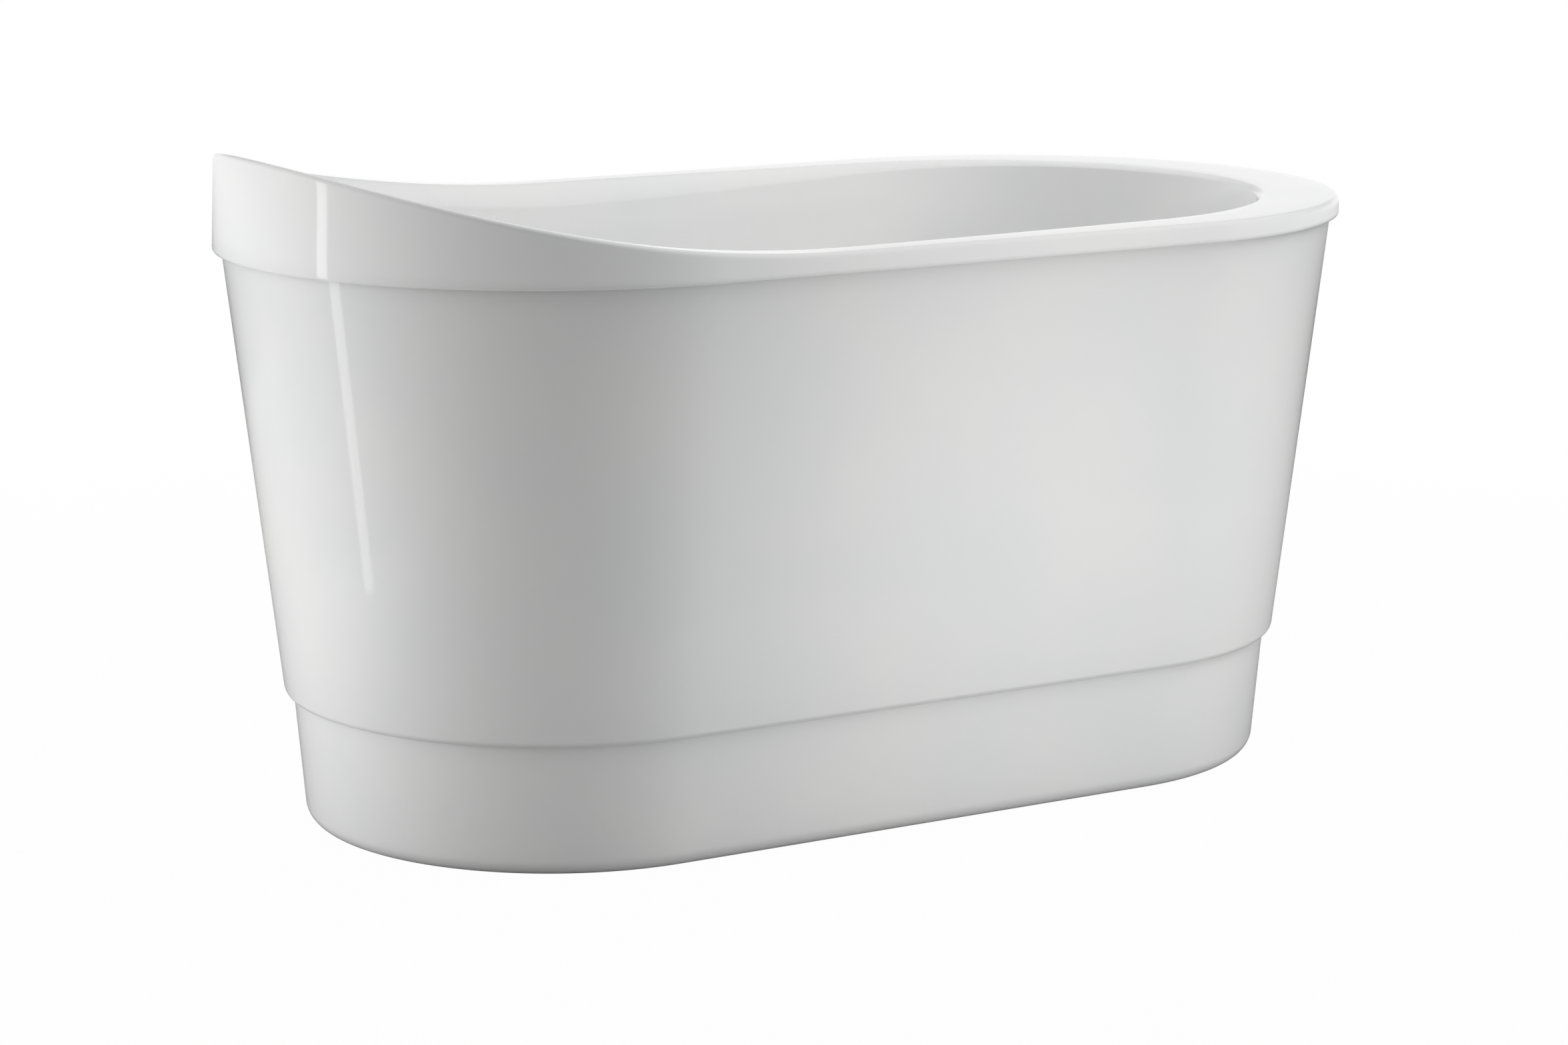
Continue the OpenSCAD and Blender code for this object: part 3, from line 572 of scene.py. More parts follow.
def rod(radius: float, low: float, high: float, place: Matrix) -> bpy.types.Object:
    """Make a closed cylinder to cut with.

    Args:
        radius: Its radius in metres.
        low: Where it starts along its own +Z.
        high: Where it ends along its own +Z.
        place: Its frame.

    Returns:
        The cutter.
    """
    work = bmesh.new()
    size = {"radius1": radius, "radius2": radius, "depth": high - low}
    bmesh.ops.create_cone(work, cap_ends=True, segments=HOLE_STEPS, **size)
    bmesh.ops.translate(work, verts=work.verts, vec=(0, 0, (low + high) / 2))
    bmesh.ops.transform(work, matrix=place, verts=work.verts)
    return from_work("cutter", work)


def install(
    piece: bpy.types.Object, node: str, body: Body, finish: bpy.types.Material
) -> bpy.types.Object:
    """Dress a piece and put it in place of a CAD node.

    Args:
        piece: The finished piece.
        node: The CAD node that it replaces.
        body: The body that it moves with.
        finish: Its material.

    Returns:
        The piece.
    """
    piece.data.materials.append(finish)
    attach(piece, body.value)
    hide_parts(node)
    return piece


@dataclass(frozen=True)
class OvalPlan:
    """Stations round a long oval: half circles at the ends and straight sides between them."""

    arc_steps: int = 96
    side_steps: int = 36

    def stations(self) -> tuple[np.ndarray, np.ndarray]:
        """Give each station's share of the way from head to foot and its direction.

        Returns:
            The shares, from 0 to 1, and the directions in radians.
        """
        arc = np.linspace(-90.0, 90.0, self.arc_steps + 1)
        side = np.arange(1, self.side_steps) / self.side_steps
        shares = np.concatenate([np.ones_like(arc), 1 - side, np.zeros_like(arc), side])
        turns = np.concatenate(
            [arc, np.full_like(side, 90.0), arc + 180.0, np.full_like(side, 270.0)]
        )
        return shares, np.radians(turns)

    def row(self, head_x: float, foot_x: float, radius: Any, z: Any) -> np.ndarray:
        """Give the oval's points at every station.

        Args:
            head_x: Where the head end's half circle has its middle.
            foot_x: Where the foot end's half circle has its middle.
            radius: The ends' radius, one value or one for each station.
            z: The height, one value or one for each station.

        Returns:
            The points as (stations, 3).
        """
        shares, turns = self.stations()
        x = head_x + (foot_x - head_x) * shares + radius * np.cos(turns)
        return np.stack([x, radius * np.sin(turns), np.broadcast_to(z, x.shape)], axis=1)

    def outward(self) -> np.ndarray:
        """Give the level direction out of the oval at every station."""
        _, turns = self.stations()
        return np.stack([np.cos(turns), np.sin(turns), np.zeros_like(turns)], axis=1)


@dataclass(frozen=True)
class Outline:
    """The tub's plan and heights, which its pieces share. Metres."""

    half_length: float = 0.750
    end_r: float = 0.413
    rim_z: float = 0.733
    fascia_low: float = 0.708
    back_rise: float = 0.103
    back_start: float = 0.155

    @property
    def end_x(self) -> float:
        """Where the straight sides end."""
        return self.half_length - self.end_r

    def climb(self, x: np.ndarray) -> np.ndarray:
        """Give the rim's climb above its level part.

        Args:
            x: Places along the tub.

        Returns:
            The climb at each place.
        """
        share = np.maximum(0.0, (-x - self.back_start) / (self.half_length - self.back_start))
        return self.back_rise * share**2


# ------------------------------
# Sub-assemblies
# ------------------------------


@dataclass
class TubShell:
    """The acrylic shell: fascia, rim, deck, walls and floor in one skin. Metres."""

    outline: Outline = field(default_factory=Outline)
    plan: OvalPlan = field(default_factory=OvalPlan)
    shell_t: float = 0.006
    floor_t: float = 0.012
    floor_z: float = 0.130
    fascia_t: float = 0.005
    fascia_draft: float = 2.2
    rim_edge: float = 0.008
    lip_edge: float = 0.004
    deck_side: float = 0.075
    deck_foot: float = 0.110
    deck_head: float = 0.065
    # The inner lip: its size at the foot and head ends and the least underneath, the share of that
    # by which it drops, how it holds on to deck and wall, and where its size grows, as shares of the
    # way to the sides' ends
    roll_foot: float = 0.008
    roll_head: float = 0.036
    least_roll: float = 0.002
    roll_fall: float = 0.84
    roll_grip: float = 0.32
    roll_from: float = 1.7
    roll_to: float = -0.5
    lean_side: float = 0.062
    lean_foot: float = 0.095
    lean_head: float = 0.320
    floor_blend: float = 0.110
    floor_fall: float = 0.004
    drain_x: float = 0.090
    drain_hole_r: float = 0.024
    recess_r: float = 0.037
    recess_draft: float = 0.001
    drain_recess: float = 0.004
    overflow_drop: float = 0.093
    overflow_hole_r: float = 0.026
    # Steps of the section, from the fascia's lip to the drain and back underneath
    lip_steps: int = 6
    fascia_steps: int = 6
    rim_steps: int = 10
    deck_steps: int = 4
    shoulder_steps: int = 20
    wall_steps: int = 14
    blend_steps: int = 20
    floor_steps: int = 8
    recess_steps: int = 4
    under_steps: int = 10

    @property
    def mouth_r(self) -> float:
        """Radius of the ends of the tub's mouth."""
        return self.outline.end_r - self.deck_side

    @property
    def base_r(self) -> float:
        """Radius of the ends of the floor's edge."""
        return self.mouth_r - self.lean_side

    def mouth(self) -> np.ndarray:
        """Give the mouth's corner at every station, at the height of the rim there.

        Returns:
            The corners as (stations, 3).
        """
        half = self.outline.half_length
        head_x = -(half - self.deck_head - self.mouth_r)
        foot_x = half - self.deck_foot - self.mouth_r
        row = self.plan.row(head_x, foot_x, self.mouth_r, 0.0)
        row[:, 2] = self.outline.rim_z + self.outline.climb(row[:, 0])
        return row

    def base(self) -> np.ndarray:
        """Give the corner between wall and floor at every station.

        Returns:
            The corners as (stations, 3).
        """
        half = self.outline.half_length
        head_x = -(half - self.deck_head - self.lean_head - self.base_r)
        foot_x = half - self.deck_foot - self.lean_foot - self.base_r
        return self.plan.row(head_x, foot_x, self.base_r, self.floor_z)

    def rim(self, inset: float, drop: float) -> np.ndarray:
        """Give the rim's outer corner at every station.

        Args:
            inset: How far inside the fascia's face.
            drop: How far below the rim.

        Returns:
            The corners as (stations, 3).
        """
        out = self.outline
        level = self.plan.row(-out.end_x, out.end_x, out.end_r, 0.0)
        top = out.rim_z + out.climb(level[:, 0])
        draft = math.tan(math.radians(self.fascia_draft))
        radius = out.end_r - (top - out.fascia_low) * draft - inset
        return self.plan.row(-out.end_x, out.end_x, radius, top - drop)

    def lip(self, inset: float) -> np.ndarray:
        """Give the fascia's lower edge at every station, inset from its face."""
        out = self.outline
        return self.plan.row(-out.end_x, out.end_x, out.end_r - inset, out.fascia_low)

    def round_drain(self, radius: float, z: float) -> np.ndarray:
        """Give the points of a circle round the drain that face each station."""
        away = self.base() - [self.drain_x, 0.0, self.floor_z]
        return unit(away) * radius + [self.drain_x, 0.0, z]

    def reach(self) -> np.ndarray:
        """Give the size of the inner lip at every station.

        Returns:
            The sizes as (stations, 1).
        """
        grow_from, grow_to = (share * self.outline.end_x for share in (self.roll_from, self.roll_to))
        share = np.clip((grow_from - self.mouth()[:, 0]) / (grow_from - grow_to), 0.0, 1.0)
        ease = share**2 * (3 - 2 * share)
        return (self.roll_foot + (self.roll_head - self.roll_foot) * ease)[:, None]

    def top_rows(self) -> Rows:
        """Give the visible side's rows, from the fascia's lip over the rim down to the drain.

        Returns:
            Rows of points, each as (stations, 3).
        """
        lip_in, lip = self.lip(self.fascia_t), self.lip(0.0)
        rim, mouth, base = self.rim(0.0, 0.0), self.mouth(), self.base()
        low = self.floor_z - self.floor_fall
        seat = low - self.drain_recess
        floor_end = self.round_drain(self.recess_r + 2 * self.recess_draft, low)
        up, inward = unit(rim - lip), unit(mouth - rim)
        down, along = unit(base - mouth), unit(floor_end - base)
        reach = self.reach()
        lip_from = lip + (lip_in - lip) * self.lip_edge / self.fascia_t
        face_from, face_to = lip + up * self.lip_edge, rim - up * self.rim_edge
        deck_from, deck_to = rim + inward * self.rim_edge, mouth - inward * reach
        wall_from, wall_to = mouth + down * self.roll_fall * reach, base - down * self.floor_blend
        floor_from = base + along * self.floor_blend
        seat_edge = self.round_drain(self.recess_r, seat)
        return [
            *bend(lip_from, lip, face_from, self.lip_steps),
            *straight(face_from, face_to, self.fascia_steps),
            *bend(face_to, rim, deck_from, self.rim_steps),
            *straight(deck_from, deck_to, self.deck_steps),
            *shoulder(deck_to, mouth, wall_from, self.roll_grip, self.shoulder_steps),
            *straight(wall_from, wall_to, self.wall_steps),
            *bend(wall_to, base, floor_from, self.blend_steps),
            *straight(floor_from, floor_end, self.floor_steps),
            *bend(floor_end, self.round_drain(self.recess_r, low), seat_edge, self.recess_steps),
            self.round_drain(self.drain_hole_r, seat),
        ]

    def under_rows(self) -> Rows:
        """Give the hidden side's rows, from the drain back under floor, walls and deck.

        Returns:
            Rows of points, each as (stations, 3).
        """
        rim = self.rim(self.fascia_t, self.shell_t)
        mouth, base = self.mouth(), self.base()
        fall = (mouth[:, 2] - base[:, 2])[:, None]
        out = self.plan.outward() * self.shell_t
        mouth_u = mouth + (base - mouth) * self.shell_t / fall + out
        base_u = mouth + (base - mouth) * (1 + self.floor_t / fall) + out
        under = self.floor_z - self.floor_t
        flat = self.round_drain(self.recess_r, under)
        inward, down, along = unit(mouth_u - rim), unit(base_u - mouth_u), unit(flat - base_u)
        reach = np.maximum(self.least_roll, self.reach() - self.shell_t)
        wall_to, deck_from = mouth_u + down * self.roll_fall * reach, mouth_u - inward * reach
        blend = self.floor_blend + self.shell_t
        return [
            self.round_drain(self.drain_hole_r, under),
            flat,
            *bend(base_u + along * blend, base_u, base_u - down * blend, self.under_steps),
            *shoulder(wall_to, mouth_u, deck_from, self.roll_grip, self.under_steps),
            rim,
            self.lip(self.fascia_t),
        ]

    def overflow_frame(self) -> Matrix:
        """Give the overflow's frame on the near wall.

        Returns:
            The frame, with +Z out through the wall.
        """
        wall_drop = self.outline.rim_z - self.floor_z
        lean = self.lean_side / wall_drop
        y = -(self.mouth_r - self.overflow_drop * lean)
        z = self.outline.rim_z - self.overflow_drop
        turn = Matrix.Rotation(math.pi / 2 + math.atan(lean), 4, "X")
        return Matrix.Translation((self.drain_x, y, z)) @ turn

    def build(self, finish: bpy.types.Material) -> bpy.types.Object:
        """Build the shell, cut its overflow hole and put it in place of the CAD shell.

        Args:
            finish: The shell's material.

        Returns:
            The shell.
        """
        grid = np.stack(self.top_rows() + self.under_rows())
        shell = smooth_mesh("formed_shell", grid)
        bore = self.overflow_hole_r
        cut(shell, rod(bore, -bore, bore, self.overflow_frame()))
        return install(shell, "tub_shell", Body.TUB, finish)


@dataclass
class OuterPanels:
    """The apron under the fascia and the plinth under the apron. Metres."""

    outline: Outline = field(default_factory=Outline)
    plan: OvalPlan = field(default_factory=OvalPlan)
    inset: float = 0.011
    taper: float = 0.063
    wall_t: float = 0.005
    apron_top: float = 0.713
    apron_low: float = 0.163
    apron_edge: float = 0.009
    apron_flange: float = 0.021
    plinth_step: float = 0.0105
    plinth_taper: float = 0.014
    plinth_clear: float = 0.002
    plinth_edge: float = 0.022
    plinth_tuck: float = 0.012
    plinth_flange: float = 0.050
    lip_gap: float = 0.0003
    # The straps that hold the plinth's flange, and the holes for their screws
    strap_x: tuple[float, ...] = (-0.250, 0.0, 0.315)
    strap_foot: float = 0.020
    screw_hole_r: float = 0.0026
    drill_top: float = 0.016
    edge_steps: int = 12
    apron_steps: int = 14
    plinth_steps: int = 6

    @property
    def apron_slope(self) -> float:
        """How much the apron's radius grows with height."""
        return self.taper / (self.outline.fascia_low - self.apron_low)

    @property
    def plinth_slope(self) -> float:
        """How much the plinth's radius grows with height."""
        return self.plinth_taper / self.apron_low

    def apron_r(self, z: float) -> float:
        """Give the apron's outer radius at a height."""
        return self.outline.end_r - self.inset - (self.outline.fascia_low - z) * self.apron_slope

    def plinth_r(self, z: float) -> float:
        """Give the plinth's outer radius at a height."""
        return self.apron_r(self.apron_low) - self.plinth_step - (self.apron_low - z) * self.plinth_slope

    def sweep(self, name: str, section: Profile) -> bpy.types.Object:
        """Run a section round the plan.

        Args:
            name: The piece's name.
            section: The closed section, as radius and height.

        Returns:
            The piece.
        """
        end_x = self.outline.end_x
        grid = np.stack([self.plan.row(-end_x, end_x, r, z) for r, z in section])
        return smooth_mesh(name, grid)

    def build_apron(self, finish: bpy.types.Material) -> bpy.types.Object:
        """Build the apron and put it in place of the CAD apron.

        Args:
            finish: The apron's material.

        Returns:
            The apron.
        """
        tilt = math.degrees(math.atan(self.apron_slope))
        edge_z = self.apron_low + self.apron_edge
        edge_r = self.apron_r(edge_z) - self.apron_edge / math.cos(math.radians(tilt))
        inner_low, inner_top = self.apron_low + self.wall_t, self.apron_top - self.wall_t
        lip_r = self.plinth_r(inner_low) + self.lip_gap
        flange_r = self.apron_r(self.apron_top) - self.apron_flange
        top = (self.apron_r(self.apron_top), self.apron_top)
        round_off = arc((edge_r, edge_z), self.apron_edge, (-90.0, -tilt), self.edge_steps)
        section = [
            (flange_r, self.apron_top),
            (flange_r, inner_top),
            (self.apron_r(inner_top) - self.wall_t, inner_top),
            (self.apron_r(inner_low) - self.wall_t, inner_low),
            (lip_r, inner_low),
            (lip_r, self.apron_low),
            *round_off,
            *straight(np.array(round_off[-1]), np.array(top), self.apron_steps),
            top,
        ]
        apron = self.sweep("formed_apron", section)
        return install(apron, "apron", Body.TUB, finish)

    def build_plinth(self, finish: bpy.types.Material) -> bpy.types.Object:
        """Build the plinth, drill its flange and put it in place of the CAD plinth.

        Args:
            finish: The plinth's material.

        Returns:
            The plinth.
        """
        tilt = math.degrees(math.atan(self.plinth_slope))
        edge_z = self.plinth_clear + self.plinth_edge
        edge_r = self.plinth_r(edge_z) - self.plinth_edge / math.cos(math.radians(tilt))
        top_z = self.apron_low + self.plinth_tuck
        flange_r = self.plinth_r(self.plinth_clear) - self.plinth_flange
        flange_top = self.plinth_clear + self.wall_t
        outer = arc((edge_r, edge_z), self.plinth_edge, (-90.0, -tilt), self.edge_steps)
        inner_r = self.plinth_edge - self.wall_t
        inner = arc((edge_r, edge_z), inner_r, (-tilt, -90.0), self.edge_steps)
        top = (self.plinth_r(top_z), top_z)
        section = [
            (flange_r, flange_top),
            (flange_r, self.plinth_clear),
            *outer,
            *straight(np.array(outer[-1]), np.array(top), self.plinth_steps),
            top,
            (self.plinth_r(top_z) - self.wall_t, top_z),
            *inner,
        ]
        plinth = self.sweep("formed_plinth", section)
        screw_y = self.plinth_r(edge_z) - self.plinth_edge - self.strap_foot / 2
        holes = [Matrix.Translation((x, side * screw_y, 0)) for x in self.strap_x for side in (-1, 1)]
        cut(plinth, *[rod(self.screw_hole_r, 0.0, self.drill_top, hole) for hole in holes])
        return install(plinth, "plinth", Body.TUB, finish)


@dataclass
class PlugCap:
    """The plug's polished cap: a low dome with a soft edge. Metres."""

    drain_x: float = 0.090
    under_z: float = 0.1282
    radius: float = 0.031
    height: float = 0.006
    rise: float = 0.002
    edge: float = 0.0012
    bevel: float = 0.001
    under_ring: float = 0.0217
    edge_steps: int = 6
    dome_steps: int = 16

    def section(self) -> Profile:
        """Give the cap's section, from the middle of its underside to the top of its dome.

        Returns:
            Points as radius and height.
        """
        dome_r = (self.radius**2 + self.rise**2) / (2 * self.rise)
        lean = math.degrees(math.asin((self.radius - self.edge) / (dome_r - self.edge)))
        edge_z = self.height - dome_r + (dome_r - self.edge) * math.cos(math.radians(lean))
        middle = (self.radius - self.edge, edge_z)
        return [
            (0.0, 0.0),
            (self.under_ring, 0.0),
            (self.radius - self.bevel, 0.0),
            (self.radius, self.bevel),
            *arc(middle, self.edge, (0.0, 90.0 - lean), self.edge_steps),
            *arc((0.0, self.height - dome_r), dome_r, (90.0 - lean, 90.0), self.dome_steps)[1:],
        ]

    def build(self, finish: bpy.types.Material) -> bpy.types.Object:
        """Turn the cap and put it in place of the CAD cap.

        Args:
            finish: The cap's material.

        Returns:
            The cap.
        """
        place = Matrix.Translation((self.drain_x, 0, self.under_z))
        cap = lathe("turned_plug_cap", self.section(), place)
        return install(cap, "plug_cap", Body.PLUG, finish)


@dataclass
class OverflowCover:
    """The overflow's polished cover, on six legs and slotted at the bottom. Metres."""

    radius: float = 0.039
    depth: float = 0.016
    face_t: float = 0.003
    skirt_t: float = 0.002
    skirt_gap: float = 0.003
    edge: float = 0.0025
    slot_w: float = 0.030
    slot_rise: float = 0.011
    leg_r: float = 0.0207
    leg_t: float = 0.002
    leg_reach: float = 0.009
    legs: int = 6
    leg_turn: float = 30.0
    face_ring: float = 0.0195
    edge_steps: int = 8
    leg_steps: int = 8

    def section(self) -> Profile:
        """Give the cover's section, from the middle of its face back to its inside.

        Returns:
            Points as radius and height.
        """
        rim = -self.skirt_gap
        inner = self.radius - self.skirt_t
        middle = (self.radius - self.edge, self.edge - self.depth)
        return [
            (0.0, -self.depth),
            (self.face_ring, -self.depth),
            *arc(middle, self.edge, (-90.0, 0.0), self.edge_steps),
            (self.radius, rim),
            (inner, rim),
            (inner, self.face_t - self.depth),
            (0.0, self.face_t - self.depth),
        ]

    def add_leg(self, work: bmesh.types.BMesh, turn: float) -> None:
        """Add a leg, which is a part of a tube, in the overflow's frame.

        Args:
            work: The cover's mesh in the making.
            turn: The direction of the leg's middle in degrees.
        """
        low, high = self.face_t / 2 - self.depth, self.leg_reach
        inner = self.leg_r - self.leg_t
        corners = [(inner, low), (self.leg_r, low), (self.leg_r, high), (inner, high)]
        rings = []
        for i in range(self.leg_steps + 1):
            a = math.radians(turn + self.leg_turn * (i / self.leg_steps - 0.5))
            rings.append([work.verts.new((r * math.cos(a), r * math.sin(a), z)) for r, z in corners])
        for one, two in zip(rings, rings[1:]):
            for k in range(len(corners)):
                work.faces.new((one[k - 1], one[k], two[k], two[k - 1]))
        work.faces.new(rings[0])
        work.faces.new(rings[-1][::-1])

    def build(self, place: Matrix, finish: bpy.types.Material) -> bpy.types.Object:
        """Build the cover and put it in place of the CAD cover.

        Args:
            place: The overflow's frame, with +Z out through the wall.
            finish: The cover's material.

        Returns:
            The cover.
        """
        cover = lathe("turned_overflow_cover", self.section(), Matrix.Identity(4))
        slot_depth = self.depth - self.face_t
        work = bmesh.new()
        bmesh.ops.create_cube(work, size=1.0)
        bmesh.ops.scale(work, verts=work.verts, vec=(self.slot_w, 2 * self.slot_rise, 2 * slot_depth))
        bmesh.ops.translate(work, verts=work.verts, vec=(0, -self.radius, 0))
        cut(cover, from_work("slot", work))
        work = bmesh.new()
        work.from_mesh(cover.data)
        for i in range(self.legs):
            self.add_leg(work, 90.0 + 360.0 * i / self.legs)
        work.to_mesh(cover.data)
        work.free()
        cover.data.transform(place)
        tidy(cover)
        return install(cover, "overflow_cover", Body.TUB, finish)


# ------------------------------
# Studio
# ------------------------------


def direction(azimuth: float, elevation: float) -> Vector:
    """Give the direction in which a lamp or the camera stands.

    Args:
        azimuth: Degrees from the near side (-Y) towards the head end (-X).
        elevation: Degrees above level.

    Returns:
        A vector of length 1.
    """
    turn, lift = math.radians(azimuth), math.radians(elevation)
    return Vector((-math.sin(turn) * math.cos(lift), -math.cos(turn) * math.cos(lift), math.sin(lift)))


@dataclass(frozen=True)
class Softbox:
    """A rectangular lamp that faces the tub.

    Azimuth 0 stands on the near side (-Y) and grows towards the head end (-X). Only a lamp with a
    mirrored spread, in degrees, is seen in mirrors.
    """

    name: str
    azimuth: float
    elevation: float
    distance: float
    width: float
    height: float
    power: float
    aim: tuple[float, float, float] = (0.0, 0.0, 0.4)
    mirrored_spread: float = 0.0

    def build(self) -> None:
        """Make the lamp."""
        lamp = bpy.data.lights.new(self.name, "AREA")
        lamp.shape = "RECTANGLE"
        lamp.size, lamp.size_y = self.width, self.height
        lamp.energy = self.power
        made = link(self.name, lamp)
        away = direction(self.azimuth, self.elevation)
        made.location = Vector(self.aim) + away * self.distance
        made.rotation_euler = away.to_track_quat("Z", "Y").to_euler()
        made.visible_camera = False
        made.visible_glossy = self.mirrored_spread > 0.0
        if self.mirrored_spread:
            lamp.spread = math.radians(self.mirrored_spread)


@dataclass
class Studio:
    """The camera, lamps, floor and white surround. Metres and degrees."""

    azimuth: float = 30.97
    elevation: float = 11.44
    distance: float = 5.1642
    aim: tuple[float, float, float] = (-0.0132, 0.0028, 0.3283)
    lens: float = 93.34
    sensor: float = 36.0
    far: float = 200.0
    white: str = "#FFFFFF"
    floor_half: float = 40.0
    floor_paint: str = "#A8A8A8"
    # How far from the tub the floor starts to turn white, how far it is white, and its share of
    # white at the tub: as the camera shows it, and as mirrors do
    glow: tuple[float, float, float] = (0.9, 3.0, 0.98)
    mirror_glow: tuple[float, float, float] = (3.0, 9.0, 0.0)
    # The rise at which the white walls in mirrors start and have given way to the ceiling
    wall_foot: float = 0.05
    wall_top: float = 0.3
    ceiling: float = 0.35
    ambient: float = 0.25
    softboxes: tuple[Softbox, ...] = (
        Softbox("top_box", 90.0, 89.0, 1.6, 1.0, 1.0, 8.4, (0.0, 0.0, 0.7)),
        Softbox("high_box", 30.0, 60.0, 2.6, 1.2, 1.6, 5.9),
        Softbox("front_box", -60.0, 35.0, 2.6, 1.2, 1.6, 23.7),
        Softbox("corner_box", 85.0, 20.0, 1.0, 0.8, 1.4, 3.1, (-0.6, 0.0, 0.45)),
        Softbox("head_box", 130.0, 0.0, 1.0, 0.8, 1.4, 2.5, (-0.6, 0.0, 0.45)),
        Softbox("low_head_box", 100.0, 0.0, 1.0, 0.8, 0.5, 3.67, (-0.6, 0.0, 0.3)),
        Softbox("low_foot_box", -30.0, 0.0, 1.2, 0.8, 0.5, 1.84, (0.5, 0.0, 0.3)),
        Softbox("low_side_box", 0.0, 0.0, 0.6, 0.7, 0.4, 0.77, (0.1, -0.41, 0.25)),
        Softbox("side_box", 0.0, 5.0, 0.5, 0.7, 0.9, 1.08, (0.1, -0.41, 0.42)),
        Softbox("shoulder_box", 0.0, 5.0, 0.5, 0.7, 0.9, 0.37, (-0.1, -0.43, 0.42)),
        Softbox("back_box", 180.0, 35.0, 2.6, 1.2, 1.6, 10.0),
        Softbox("back_foot_box", -150.0, 35.0, 2.6, 1.2, 1.6, 15.0),
        Softbox("back_head_box", 150.0, 10.0, 2.6, 1.2, 1.6, 6.0),
        Softbox("strip_light", 110.6, -7.0, 0.7, 0.065, 0.9, 0.051, (-0.697, -0.164, 0.60), 54.0),
    )

    def build_camera(self) -> None:
        """Make the camera at the photograph's place."""
        data = bpy.data.cameras.new("camera")
        data.lens, data.sensor_width = self.lens, self.sensor
        data.clip_end = self.far
        camera = link("camera", data)
        back = direction(self.azimuth, self.elevation)
        camera.location = Vector(self.aim) + back * self.distance
        camera.rotation_euler = back.to_track_quat("Z", "Y").to_euler()
        bpy.context.scene.camera = camera

    def rays(self, tree: bpy.types.NodeTree) -> tuple[bpy.types.NodeSocket, bpy.types.NodeSocket]:
        """Tell the kinds of ray apart.

        Args:
            tree: The node tree to add to.

        Returns:
            A socket that is 1 for camera rays, and one that is 1 for mirror and glass rays.
        """
        path = add_node(tree, "ShaderNodeLightPath")
        mirrored = {0: path.outputs["Is Glossy Ray"], 1: path.outputs["Is Transmission Ray"]}
        mirror = add_node(tree, "ShaderNodeMath", {"operation": "MAXIMUM"}, mirrored)
        return path.outputs["Is Camera Ray"], mirror.outputs[0]

    def build_world(self) -> None:
        """Make the surround: a low even light, white to the camera, and a white hall in mirrors."""
        world = bpy.data.worlds.new("surround")
        bpy.context.scene.world = world
        world.use_nodes = True
        tree = world.node_tree
        tree.nodes.clear()
        camera, mirror = self.rays(tree)
        tone = linear(self.white)
        light = add_node(tree, "ShaderNodeBackground", {"Color": tone, "Strength": self.ambient})
        white = add_node(tree, "ShaderNodeBackground", {"Color": tone, "Strength": 1.0})
        way = add_node(tree, "ShaderNodeTexCoord").outputs["Generated"]
        height = add_node(tree, "ShaderNodeSeparateXYZ", links={0: way}).outputs["Z"]
        walls = add_node(
            tree,
            "ShaderNodeMapRange",
            {
                "interpolation_type": "SMOOTHSTEP",
                "From Min": self.wall_foot,
                "From Max": self.wall_top,
                "To Min": 1.0,
                "To Max": self.ceiling,
            },
            {"Value": height},
        )
        strength = {"Strength": walls.outputs[0]}
        hall = add_node(tree, "ShaderNodeBackground", {"Color": tone}, strength)
        shown = light
        for ray, seen in ((mirror, hall), (camera, white)):
            links = {0: ray, 1: shown.outputs[0], 2: seen.outputs[0]}
            shown = add_node(tree, "ShaderNodeMixShader", links=links)
        add_node(tree, "ShaderNodeOutputWorld", links={"Surface": shown.outputs[0]})

    def build_floor(self) -> None:
        """Make the pale floor, which shows white and keeps the tub's soft shadow."""
        mesh = bpy.data.meshes.new("floor")
        half = self.floor_half
        corners = [(-half, -half, 0.0), (half, -half, 0.0), (half, half, 0.0), (-half, half, 0.0)]
        mesh.from_pydata(corners, [], [(0, 1, 2, 3)])
        mesh.materials.append(self.mix_paint())
        floor = link("floor", mesh)

    def mix_paint(self) -> bpy.types.Material:
        """Make the floor's matt paint, which turns white with distance.

        Returns:
            The material.
        """
        paint = bpy.data.materials.new("floor_paint")
        paint.use_nodes = True
        tree = paint.node_tree
        tree.nodes.clear()
        matt = add_node(tree, "ShaderNodeBsdfDiffuse", {"Color": linear(self.floor_paint)})
        glow = add_node(tree, "ShaderNodeEmission", {"Color": linear(self.white), "Strength": 1.0})
        place = add_node(tree, "ShaderNodeTexCoord").outputs["Object"]
        away = add_node(tree, "ShaderNodeVectorMath", {"operation": "LENGTH"}, {0: place})
        shares = []
        for ray, (start, end, near) in zip(self.rays(tree), (self.glow, self.mirror_glow)):
            share = add_node(
                tree,
                "ShaderNodeMapRange",
                {
                    "interpolation_type": "SMOOTHSTEP",
                    "From Min": start,
                    "From Max": end,
                    "To Min": near,
                    "To Max": 1.0,
                },
                {"Value": away.outputs["Value"]},
            )
            links = {0: ray, 1: share.outputs[0]}
            shares.append(add_node(tree, "ShaderNodeMath", {"operation": "MULTIPLY"}, links).outputs[0])
        white = add_node(tree, "ShaderNodeMath", {"operation": "ADD"}, dict(enumerate(shares)))
        mix = {0: white.outputs[0], 1: matt.outputs[0], 2: glow.outputs[0]}
        shown = add_node(tree, "ShaderNodeMixShader", links=mix)
        add_node(tree, "ShaderNodeOutputMaterial", links={"Surface": shown.outputs[0]})
        return paint

    def build(self) -> None:
        """Make the whole studio."""
        self.build_camera()
        self.build_world()
        self.build_floor()
        for softbox in self.softboxes:
            softbox.build()
        bpy.context.scene.view_settings.view_transform = "Standard"


# ------------------------------
# The finishes of the CAD pieces
# ------------------------------


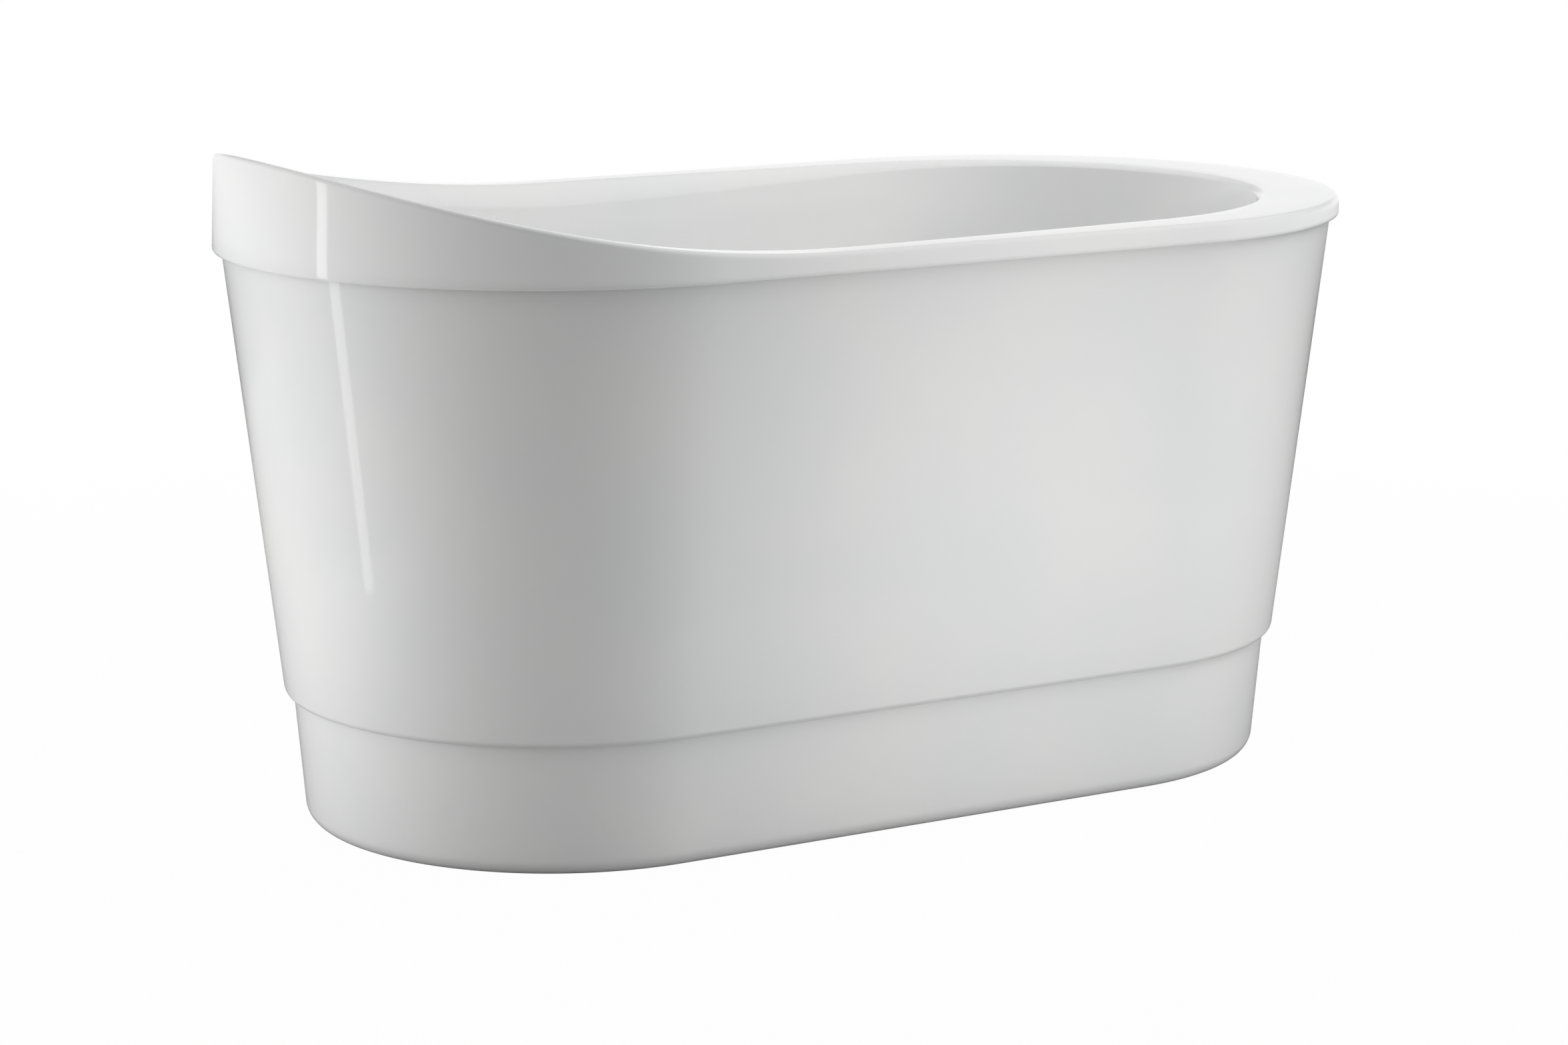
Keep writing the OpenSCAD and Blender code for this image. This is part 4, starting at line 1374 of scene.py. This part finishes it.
@dataclass
class CarriedOver:
    """Dresses the CAD nodes that are shown as they are."""

    nodes: dict[str, bpy.types.Object]

    def finishes(self) -> dict[Slot, Finish]:
        """Give the finish of each slot's nodes.

        Returns:
            The finishes by slot.
        """
        return {
            Slot.SHELL: CastAcrylic("cast_acrylic_shell"),
            Slot.PANEL: CastAcrylic("cast_acrylic_panel"),
            Slot.PLYWOOD: BirchPlywood("birch_plywood"),
            Slot.STEEL: ZINC_STEEL,
            Slot.FOOT: NYLON,
            Slot.CHROME: CHROME_BRASS,
            Slot.RUBBER: NITRILE,
            Slot.WASTE: POLYPROPYLENE,
        }

    def dress(self, record: dict[str, Any]) -> dict[Slot, bpy.types.Material]:
        """Give every CAD node the finish of its slot.

        Args:
            record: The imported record.

        Returns:
            The materials by slot.
        """
        materials = {slot: finish.material() for slot, finish in self.finishes().items()}
        for part in record["subparts"]:
            node = self.nodes[part["node"]]
            node.data.materials.clear()
            node.data.materials.append(materials[Slot(part["material_slot"])])
        return materials


def main() -> None:
    """Build the studio and every piece, and report each."""
    logging.basicConfig(level=logging.INFO, format="%(message)s")
    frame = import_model()
    Studio().build()
    materials = CarriedOver(frame["nodes"]).dress(frame["record"])
    shell, panels = TubShell(), OuterPanels()
    pieces = [
        shell.build(materials[Slot.SHELL]),
        panels.build_apron(materials[Slot.PANEL]),
        panels.build_plinth(materials[Slot.PANEL]),
        PlugCap().build(materials[Slot.CHROME]),
        OverflowCover().build(shell.overflow_frame(), materials[Slot.CHROME]),
    ]
    for piece in pieces:
        LOG.info("%s: %d faces", piece.name, len(piece.data.polygons))


if __name__ == "__main__":
    main()
